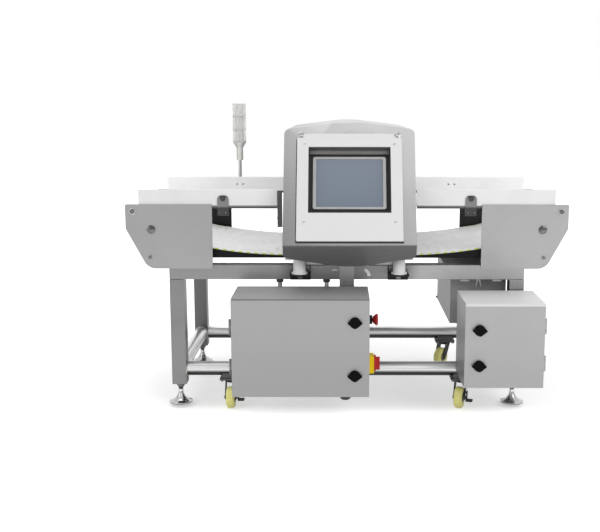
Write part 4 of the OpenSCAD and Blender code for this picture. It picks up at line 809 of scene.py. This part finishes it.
def panel_glass():
    look, tree, shader = start_material("panel_glass", 0.14)
    # Painted reflection: the glass is painted a little lighter towards its top.
    rise = past(tree, up_way, 0.72, 0.89)
    tone = mix(tree, rise, (0.155, 0.187, 0.238), (0.178, 0.214, 0.266))
    paint(shader, tone)
    smear = use(tree, moulded_grain, Size=300.0, Blotch=8.0)
    dull = remap(tree, smear["Unevenness"], 0.0, 1.0, 0.08, 0.24, "LINEAR")
    fill(shader, {"Roughness": dull, "Coat Weight": 0.3, "Coat Roughness": 0.06})
    return look


dress("screen_housing", tray_black(), 0.0006)
strip = Piece("tray_strip")
strip_path = [face_place(x, 0.32995, -0.0178) for x in (-0.1335, 0.0, 0.1335)]
strip.swept(strip_path, bar_section(0.0055, -0.0068, 0.0068), up=face_up)
strip.made(moulded("tray_strip", grey(0.17), 0.5), "black_plastic", corner=0.0008)
bezel_silver = ground_steel("bezel_silver", 0.41, 0.50, (300, 300, 300), rough=(0.3, 0.4))[0]
dress("screen_bezel", bezel_silver, 0.0012)
dress("screen_glass", panel_glass(), 0.0004)


# Head mounts. Four white plastic pads hold the head clear of the frame, each in
# a black painted angle that is bolted to the rail.
dress("head_isolators", moulded("pad_plastic", grey(0.74), 0.45))
angle_paint = moulded(
    "angle_paint", (0.010, 0.010, 0.011), 0.55, size=1400, depth=0.0001, sheen=0.2)
dress("head_brackets", angle_paint)
angle_bolt = (0.0105, 0.004, 0.009, 0.002)
angle_bolts = Piece("angle_bolts")
for sx, sy in four_corners:
    at = (head_x + sx * 0.168, middle + sy * 0.2943, 0.466)
    hex_bolt(angle_bolts, at, (0, sy, 0), *angle_bolt)
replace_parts(angle_bolts.made(bolt_zinc, "bright_steel", smooth=30), "fasteners")


# Cabinet hangers. A flat steel bar and two threaded rods carry the main cabinet
# from the rail, with a washer and a nut up against the rail on each rod.
dress("cabinet_hangers", leg_steel)
rod_nut = (0.024, 0.0115, 0.013, 0.0015)
rod_nuts = Piece("rod_nuts")
for x in (-0.2304, -0.0696):
    hex_bolt(rod_nuts, (x, middle - leg_y, rail_under + 0.0002), down_way, *rod_nut)
rod_nuts.made(black_oxide, "dark_steel", smooth=30)


# Rail fittings. Four small white plastic ones on the front rail under the head:
# three low domes and a clip that bends down towards the rail's lower edge.
fittings = Piece("rail_fittings")
rail_face = middle - 0.2881
dome_share = ((0, -1), (0.9, -0.6), (1, 0), (0.9, 0.6), (0, 1))
domes = ((-0.112, 0.4985, 0.0030, 0.0026), (-0.092, 0.4965, 0.0038, 0.0020),
         (-0.041, 0.4880, 0.0100, 0.0030))
for x, z, half, height in domes:
    path = [(x - half, rail_face, z), (x - half * 0.6, rail_face, z), (x, rail_face, z + 0.0006),
            (x + half * 0.6, rail_face, z), (x + half, rail_face, z)]
    fittings.swept(path, [(out * 0.0022, rise * height) for out, rise in dome_share])
clip_places = ((0.060, 0.4905), (0.066, 0.4880), (0.073, 0.4800), (0.0765, 0.4680))
clip_path = [(x, rail_face, z) for x, z in clip_places]
clip = [(-0.0065, -0.0005), (0.0065, -0.0005), (0.0055, 0.0045), (-0.0055, 0.0045)]
fittings.swept(clip_path, clip, up=front_way)
fittings.made(moulded("fitting_plastic", grey(0.90), 0.35), "white_plastic")


# Main cabinet. Folded and welded stainless sheet, ground satin; the door hangs on
# two hinges at its left and closes on a black foam gasket, and a black plastic
# gland for the cables sits in its floor.
def cabinet_steel(name, low, high, top, side, fold_z, fold):
    """Satin sheet that darkens downwards and is worn in places; the top, the left side and a line
    along the door's fold are painted other greys, as light and shade."""
    look, tree, shader = start_material(name, 0.42, 0.88)
    marks = use(tree, grinding, Stretch=(420, 420, 6), Blotch=6.0)
    rise = past(tree, up_way, 0.10, 0.43)
    tone = mix(tree, rise, grey(low), (high, high, high * 1.005))
    streaked = mix(tree, times(tree, marks["Streak"], 0.05), tone, grey(0.70))
    marked = mix(tree, times(tree, marks["Marks"], 0.15), streaked, grey(0.26))
    # Painted light and shade on the top and the left side.
    is_top = facing(tree, up_way)
    topped = mix(tree, is_top, marked, grey(top))
    sided = mix(tree, facing(tree, left_way), topped, grey(side))
    hinge_start = 0.3738  # the main cabinet's hinges are all that reaches further to the left
    hinged = shade(tree, sided, past(tree, left_way, hinge_start, hinge_start + 0.0007), 0.5)
    # A painted line along the door's top fold: shade on the main cabinet, a highlight on the small
    # one.
    in_front = facing(tree, front_way, 0.3, 0.6)
    is_fold = times(tree, in_front, past(tree, up_way, fold_z, fold_z + 0.003))
    paint(shader, mix(tree, is_fold, hinged, grey(fold)))
    matt = maths(tree, "MAXIMUM", is_fold, is_top)
    feed(shader.inputs["Metallic"], maths(tree, "SUBTRACT", 0.88, times(tree, matt, 0.6)))
    feed(shader.inputs["Roughness"], remap(tree, marks["Streak"], 0.0, 1.0, 0.37, 0.5, "LINEAR"))
    raise_grain(shader, marks["Streak"], 0.00006, 0.5)
    return look


foam = moulded("gasket_foam", grey(0.02), 0.85, size=2500, depth=0.0004)


def gasket(name, door, x0, x1, z0, z1):
    """A square-cornered strip of foam inside a door, resting on the cabinet's lip."""
    strip = Piece(name)
    inset, deep, wide = 0.0078, 0.0165, 0.004
    y = middle - 0.5105
    left, right, low, high = x0 + inset, x1 - inset, z0 + inset, z1 - inset
    corners = [(left, y, low), (right, y, low), (right, y, high), (left, y, high)]
    path = []
    for a, b in zip(corners, corners[1:] + corners[:1]):
        for share in (0.02, 0.5, 0.98):
            path.append(tuple(p + (q - p) * share for p, q in zip(a, b)))
    section = [(-wide, 0), (wide, 0), (wide * 0.8, deep), (-wide * 0.8, deep)]
    strip.swept(path, section, close=True, up=back_way)
    strip.made(foam, "black_plastic", door, smooth=60)


# Painted light and shade: a lighter top, a darker left side and a dark line along the door's fold.
main_steel = cabinet_steel(
    "main_cabinet_steel", 0.25, 0.29, top=0.40, side=0.22, fold_z=0.4275, fold=0.12)
dress("main_cabinet", main_steel, 0.0014)
dress("main_door", main_steel, 0.0014)
gasket("main_door_gasket", "main_door", -0.3735, 0.0715, 0.109, 0.433)
gland = Piece("cable_gland")
gland_nut = [(0, 0.0205), (0.0100, 0.0205), (0.0115, 0.0190), (0.0175, 0.0150), (0.0190, 0.0120)]
gland.turned((-0.0056, -0.390, 0.1093), down_way, gland_nut, 28)
gland_plastic = moulded("gland_plastic", grey(0.025), 0.5, sheen=0.2)
gland.made(gland_plastic, "black_plastic", smooth=30)


# Small cabinet. The same build with its hinges at the right; its satin sheet is
# a shade brighter than the main cabinet's.
# Painted light and shade: a much lighter top, a darker left side and a highlight along the door's
# fold.
small_steel = cabinet_steel(
    "small_cabinet_steel", 0.28, 0.33, top=0.77, side=0.155, fold_z=0.4085, fold=0.62)
dress("small_cabinet", small_steel, 0.0014)
dress("small_door", small_steel, 0.0014)
gasket("small_door_gasket", "small_door", 0.378, 0.635, 0.140, 0.419)


# Inside the cabinets. Pale coated mounting plates on standoffs, and a ribbed
# dark motor inverter screwed to the larger one.
dress("mounting_plates", moulded("plate_coating", (0.72, 0.73, 0.74), 0.45), 0.0006)
inverter_case = moulded("inverter_case", (0.10, 0.10, 0.105), 0.5, size=1100, depth=0.0001)
dress("motor_inverter", inverter_case, 0.001)
terminals = Piece("inverter_terminals")
for k in range(7):
    at = (-0.2985 + k * 0.0123, middle - 0.4107, 0.209)
    socket_screw(terminals, at, front_way, 0.0038, 0.002)
terminals.made(bright, "bright_steel", smooth=30)


# Locks. Black moulded quarter-turn knobs with a pointed grip, on a steel shaft
# that carries the cam behind the door.
lock_black = moulded(
    "lock_plastic", (0.004, 0.004, 0.0045), 0.6, size=1600, depth=0.00008, sheen=0.05)
for name in ("main_lock_upper", "main_lock_lower", "small_lock_upper", "small_lock_lower"):
    dress(name, lock_black)


# Emergency stop and main switch. A red mushroom on a black collar with a rim,
# and a red rotary handle with a rim on a yellow moulded block held by four
# screws, both on the main cabinet's right side.
dress("estop_collar", lock_black)
button_red = moulded(
    "button_red", (0.38, 0.010, 0.012), 0.28, size=1500, depth=0.00003, coat=0.15, sheen=0.3)
dress("estop_button", button_red, 0.0006)
switch_yellow = moulded(
    "switch_yellow", (0.98, 0.66, 0.004), 0.45, size=1500, depth=0.00006, sheen=0.2)
dress("switch_body", switch_yellow, 0.001)
knob_red = moulded("knob_red", (0.45, 0.010, 0.009), 0.36, size=1500, depth=0.00004, sheen=0.25)
dress("switch_knob", knob_red, 0.001)
for red in (button_red, knob_red):
    stem = past(red.node_tree, left_way, -0.0716, -0.0712)
    shade_base(red.node_tree.nodes["Principled BSDF"], stem, 0.08)
controls_y, stop_z, switch_z = middle - 0.393, 0.339, 0.189
estop_rim = Piece("estop_rim")
rim = bar_section(0.0004, 0.0, 0.0041)
estop_rim.swept(circle_path((0.0797, controls_y, stop_z), 0.0146, right_way), rim, True, right_way)
estop_rim.made(lock_black, "black_plastic")
switch_rim = Piece("switch_rim")
rim = [(-0.0029, 0.0), (0.0029, 0.0), (0.0029, 0.0055), (0.0019, 0.0068), (-0.0029, 0.0068)]
ring = circle_path((0.0901, controls_y, switch_z), 0.0257, right_way)
switch_rim.swept(ring, rim, True, right_way)
switch_rim.made(knob_red, "knob_red", "switch_knob")
switch_screws = Piece("switch_screws")
for sy, sz in four_corners:
    at = (0.0899, controls_y + sy * 0.0225, switch_z + sz * 0.0225)
    socket_screw(switch_screws, at, right_way, 0.0026, 0.0012)
switch_screws.made(bolt_zinc, "bright_steel", smooth=30)


# Castors. Dark grey top plates bolted up under the lower tubes, black forks that
# swivel, and pale yellow polyurethane wheels on a grey hub.
def make_ball_mask():
    """1 inside a ball round a centre and 0 outside it, to tell a hub from its tyre."""
    group, given, result = effect(
        "ball_mask", [("Centre", "Vector", (0.0, 0.0, 0.0)), ("Radius", "Float", 0.02)],
        ["Inside"])
    apart = node(group, "VectorMath", operation="DISTANCE")
    apart = fill(apart, {0: own_place(group), 1: given.outputs["Centre"]})["Value"]
    outer = maths(group, "ADD", given.outputs["Radius"], 0.0004)
    inner = maths(group, "SUBTRACT", given.outputs["Radius"], 0.0004)
    feed(result.inputs["Inside"], remap(group, apart, outer, inner, how="LINEAR"))
    return group


ball_mask = make_ball_mask()


def wheel_look(name, centre):
    look, tree, shader = start_material(name, 0.42)
    hub = use(tree, ball_mask, Centre=centre, Radius=0.0212)
    grain = use(tree, moulded_grain, Size=900.0, Blotch=30.0)
    tyre = mix(tree, grain["Unevenness"], (0.86, 0.82, 0.23), (1.0, 0.96, 0.38))
    paint(shader, mix(tree, hub["Inside"], tyre, (0.16, 0.16, 0.15)))
    raise_grain(shader, grain["Grain"], 0.00012, 0.6)
    return look


fork_black = moulded("fork_paint", (0.009, 0.009, 0.010), 0.52, size=1300, depth=0.0001, sheen=0.3)
plate_paint = moulded("plate_paint", grey(0.10), 0.5, size=1300, depth=0.0001, sheen=0.3)
dress("castor_plates", plate_paint, 0.0006)
castors = {"front_left": (-1, -1, 0), "front_right": (1, -1, 18),
           "rear_left": (-1, 1, 30), "rear_right": (1, 1, 35)}
castor_x, trail, wheel_r, nut_out, plate_z = 0.403, 0.030, 0.0375, 0.0201, 0.0979
axle_height = Vector((0, 0, wheel_r))
axle_nut, plate_bolt = (0.0115, 0.0024, 0.0075, 0.0007), (0.010, 0.004, 0.0072, 0.0014)
castor_bolts = Piece("castor_plate_bolts")
for place, (sx, sy, angle) in castors.items():
    pin = Vector((sx * castor_x, middle + sy * leg_y, 0))
    turn = Matrix.Rotation(math.radians(-angle), 3, "Z")
    dress("fork_" + place, fork_black, 0.0006)
    centre = pin + turn @ Vector((0, -trail, 0)) + axle_height
    dress("wheel_" + place, wheel_look("wheel_" + place, tuple(centre)), 0.0)
    nuts = Piece("axle_nuts_" + place)
    for side in (-1, 1):
        at = pin + turn @ Vector((side * nut_out, -trail, 0)) + axle_height
        hex_bolt(nuts, at, turn @ Vector((side, 0, 0)), *axle_nut)
    nuts.made(bolt_zinc, "castor_steel", "fork_" + place, smooth=30)
    for bx, by in four_corners:
        at = (pin.x + bx * 0.031, pin.y + by * 0.023, plate_z)
        hex_bolt(castor_bolts, at, down_way, *plate_bolt)
castor_bolts.made(bolt_zinc, "castor_steel", smooth=30)
dress("pedal_front_left", fork_black, 0.0006)
dress("pedal_front_right", fork_black, 0.0006)


# Levelling feet. Polished stainless bells on a rubber sole, with a lock nut and
# a threaded stem that runs up into the leg.
def foot_look():
    look, tree, shader = start_material("foot_polished", 0.2, 1.0)
    height = along_axis(tree, own_place(tree), "Z")
    marks = use(tree, grinding, Stretch=(120, 120, 900), Blotch=14.0)
    sole_top, nut_bottom, thread_bottom, thread_pitch = 0.0150, 0.0592, 0.0781, 0.00175
    nut_here = maths(tree, "GREATER_THAN", height, nut_bottom)
    thread_here = maths(tree, "GREATER_THAN", height, thread_bottom)
    sole = maths(tree, "LESS_THAN", height, sole_top)
    steel = mix(tree, marks["Streak"], (0.46, 0.46, 0.465), (0.62, 0.62, 0.625))
    darkened = mix(tree, nut_here, steel, (0.11, 0.11, 0.115))
    paint(shader, mix(tree, sole, darkened, grey(0.02)))
    feed(shader.inputs["Metallic"], maths(tree, "SUBTRACT", 1.0, sole))
    steel_rough = maths(tree, "ADD", 0.16, times(tree, marks["Marks"], 0.1))
    feed(shader.inputs["Roughness"], maths(tree, "ADD", times(tree, sole, 0.45), steel_rough))
    thread = maths(tree, "SINE", times(tree, height, 2 * math.pi / thread_pitch))
    raise_grain(shader, times(tree, thread, thread_here), 0.0006, 1.0)
    return look


polished = foot_look()
for place in castors:
    dress("foot_" + place, polished, 0.0)


# Tower light. A clear grey lens in three ribbed tiers on a pale tapered neck,
# carried by a steel pole on the rear guide rail's bracket.
def clear_lens():
    look, tree, shader = start_material("lens_clear", 0.16)
    haze = use(tree, moulded_grain, Size=500.0, Blotch=20.0)
    tone = mix(tree, haze["Unevenness"], (0.86, 0.86, 0.85), (0.95, 0.95, 0.94))
    paint(shader, tone)
    fill(shader, {"Transmission Weight": 0.55, "IOR": 1.46})
    return look


def pole_look():
    """A steel pole, and above it the neck of pale plastic, with painted shade on its sides."""
    look, tree, shader = start_material("tower_pole", 0.36)
    neck_bottom = 0.8268
    neck = maths(tree, "GREATER_THAN", along_axis(tree, own_place(tree), "Z"), neck_bottom)
    marks = use(tree, grinding, Stretch=(500, 500, 8), Blotch=12.0)
    steel = mix(tree, marks["Streak"], (0.42, 0.42, 0.43), (0.56, 0.56, 0.57))
    # Painted shade: the neck's sides are painted darker than its front.
    in_front = facing(tree, front_way, 0.55, 0.95)
    plastic = mix(tree, in_front, (0.38, 0.38, 0.36), (0.86, 0.86, 0.83))
    paint(shader, mix(tree, neck, steel, plastic))
    feed(shader.inputs["Metallic"], maths(tree, "SUBTRACT", 1.0, neck))
    return look


dress("tower_light_pole", pole_look(), 0.0006)
tower_x, tower_y = -0.422, middle + 0.310
lens_piece = Piece("tower_lens")
tiers, tier_h, rib = 3, 0.151 / 3, 0.0028
wall_r, band_r, groove_r, rib_r = 0.0255, 0.027, 0.0262, 0.0268
ribs = int((tier_h - 0.006) / rib)
for tier in range(tiers):
    base = tier * tier_h
    top = base + tier_h
    profile = [(base, wall_r), (base + 0.0012, band_r), (base + 0.003, band_r)]
    for k in range(ribs):
        z = base + 0.003 + (tier_h - 0.0062) * k / ribs
        profile += [(z + 0.0004, groove_r), (z + rib * 0.55, rib_r), (z + rib * 0.9, groove_r)]
    profile += [(top - 0.003, band_r), (top - 0.0015, band_r), (top - 0.0009, wall_r),
                (top - 0.0003, 0.0250 if tier < tiers - 1 else 0.0230)]
    lens_piece.turned((tower_x, tower_y, 0.899), up_way, profile, 40)
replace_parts(lens_piece.made(clear_lens(), "lens_clear", smooth=35), "tower_light_lenses")
core = Piece("tower_core")
core_profile = [(0, 0.008), (0, 0.012), (0.146, 0.012), (0.147, 0.008)]
core.turned((tower_x, tower_y, 0.9005), up_way, core_profile, 24)
core.made(moulded("lamp_board", (0.90, 0.90, 0.86), 0.5), "tower_grey")


# Drive. A grey painted sheet box hangs between the rails on four ears, with a
# wire catch and a black knob; the motor in it turns the belt behind the rear side
# plate, under a steel guard.
def box_paint():
    """Grey paint, painted other greys on the top and the left side as light and shade, painted
    shade under the ears, and the wire catch's bare steel.
    """
    look, tree, shader = start_material("box_paint", 0.5)
    grain = use(tree, moulded_grain, Size=1300.0, Blotch=8.0)
    front = mix(tree, grain["Unevenness"], (0.26, 0.26, 0.262), (0.31, 0.31, 0.312))
    # Painted light and shade: a darker top and a lighter left side.
    topped = mix(tree, facing(tree, up_way), front, (0.255, 0.255, 0.26))
    sided = mix(tree, facing(tree, left_way), topped, (0.36, 0.36, 0.362))
    # Painted shade under the ears.
    ear_under_shade = times(tree, facing(tree, down_way, 0.3, 0.6), past(tree, up_way, 0.440, 0.445))
    ear_shaded = shade(tree, sided, ear_under_shade, 0.15)
    catch = past(tree, front_way, 0.1476, 0.1479)
    for way, edge in ((1, 0.430), (-1, -0.488)):
        catch = times(tree, catch, past(tree, (way, 0, 0), edge, edge + 0.003))
    paint(shader, mix(tree, catch, ear_shaded, (0.70, 0.70, 0.71)))
    feed(shader.inputs["Metallic"], times(tree, catch, 0.9))
    raise_grain(shader, grain["Grain"], 0.00012, 0.6)
    return look


dress("drive_box", box_paint(), 0.0012)
box_knob = Piece("box_knob")
knob_profile = [(0, 0.0036), (0.0030, 0.0045), (0.0052, 0.0036), (0.0060, 0.0018)]
box_knob.turned((0.3622, 0.2705, 0.2965), left_way, knob_profile, 20)
box_knob.made(lock_black, "black_plastic")
dress("gear_motor", moulded("motor_paint", (0.07, 0.14, 0.24), 0.42, size=900, depth=0.0001), 0.001)
dress("motor_pulley", bright, 0.0)
dress("drive_belt", moulded("belt_rubber", grey(0.02), 0.7, size=2200, depth=0.0002), 0.0004)
dress("drive_guard", plate_steel, 0.001)
guard_screws = Piece("guard_screws")
guard_face = middle + 0.3391
screw_places = ((0.475, 0.340), (0.430, 0.395), (0.690, 0.655), (0.632, 0.655), (0.55, 0.4478),
                (0.548, 0.535))
for x, z in screw_places:
    socket_screw(guard_screws, (x, guard_face, z), back_way, 0.0042, 0.0028)
guard_screws.made(bright, "bright_steel", smooth=30)
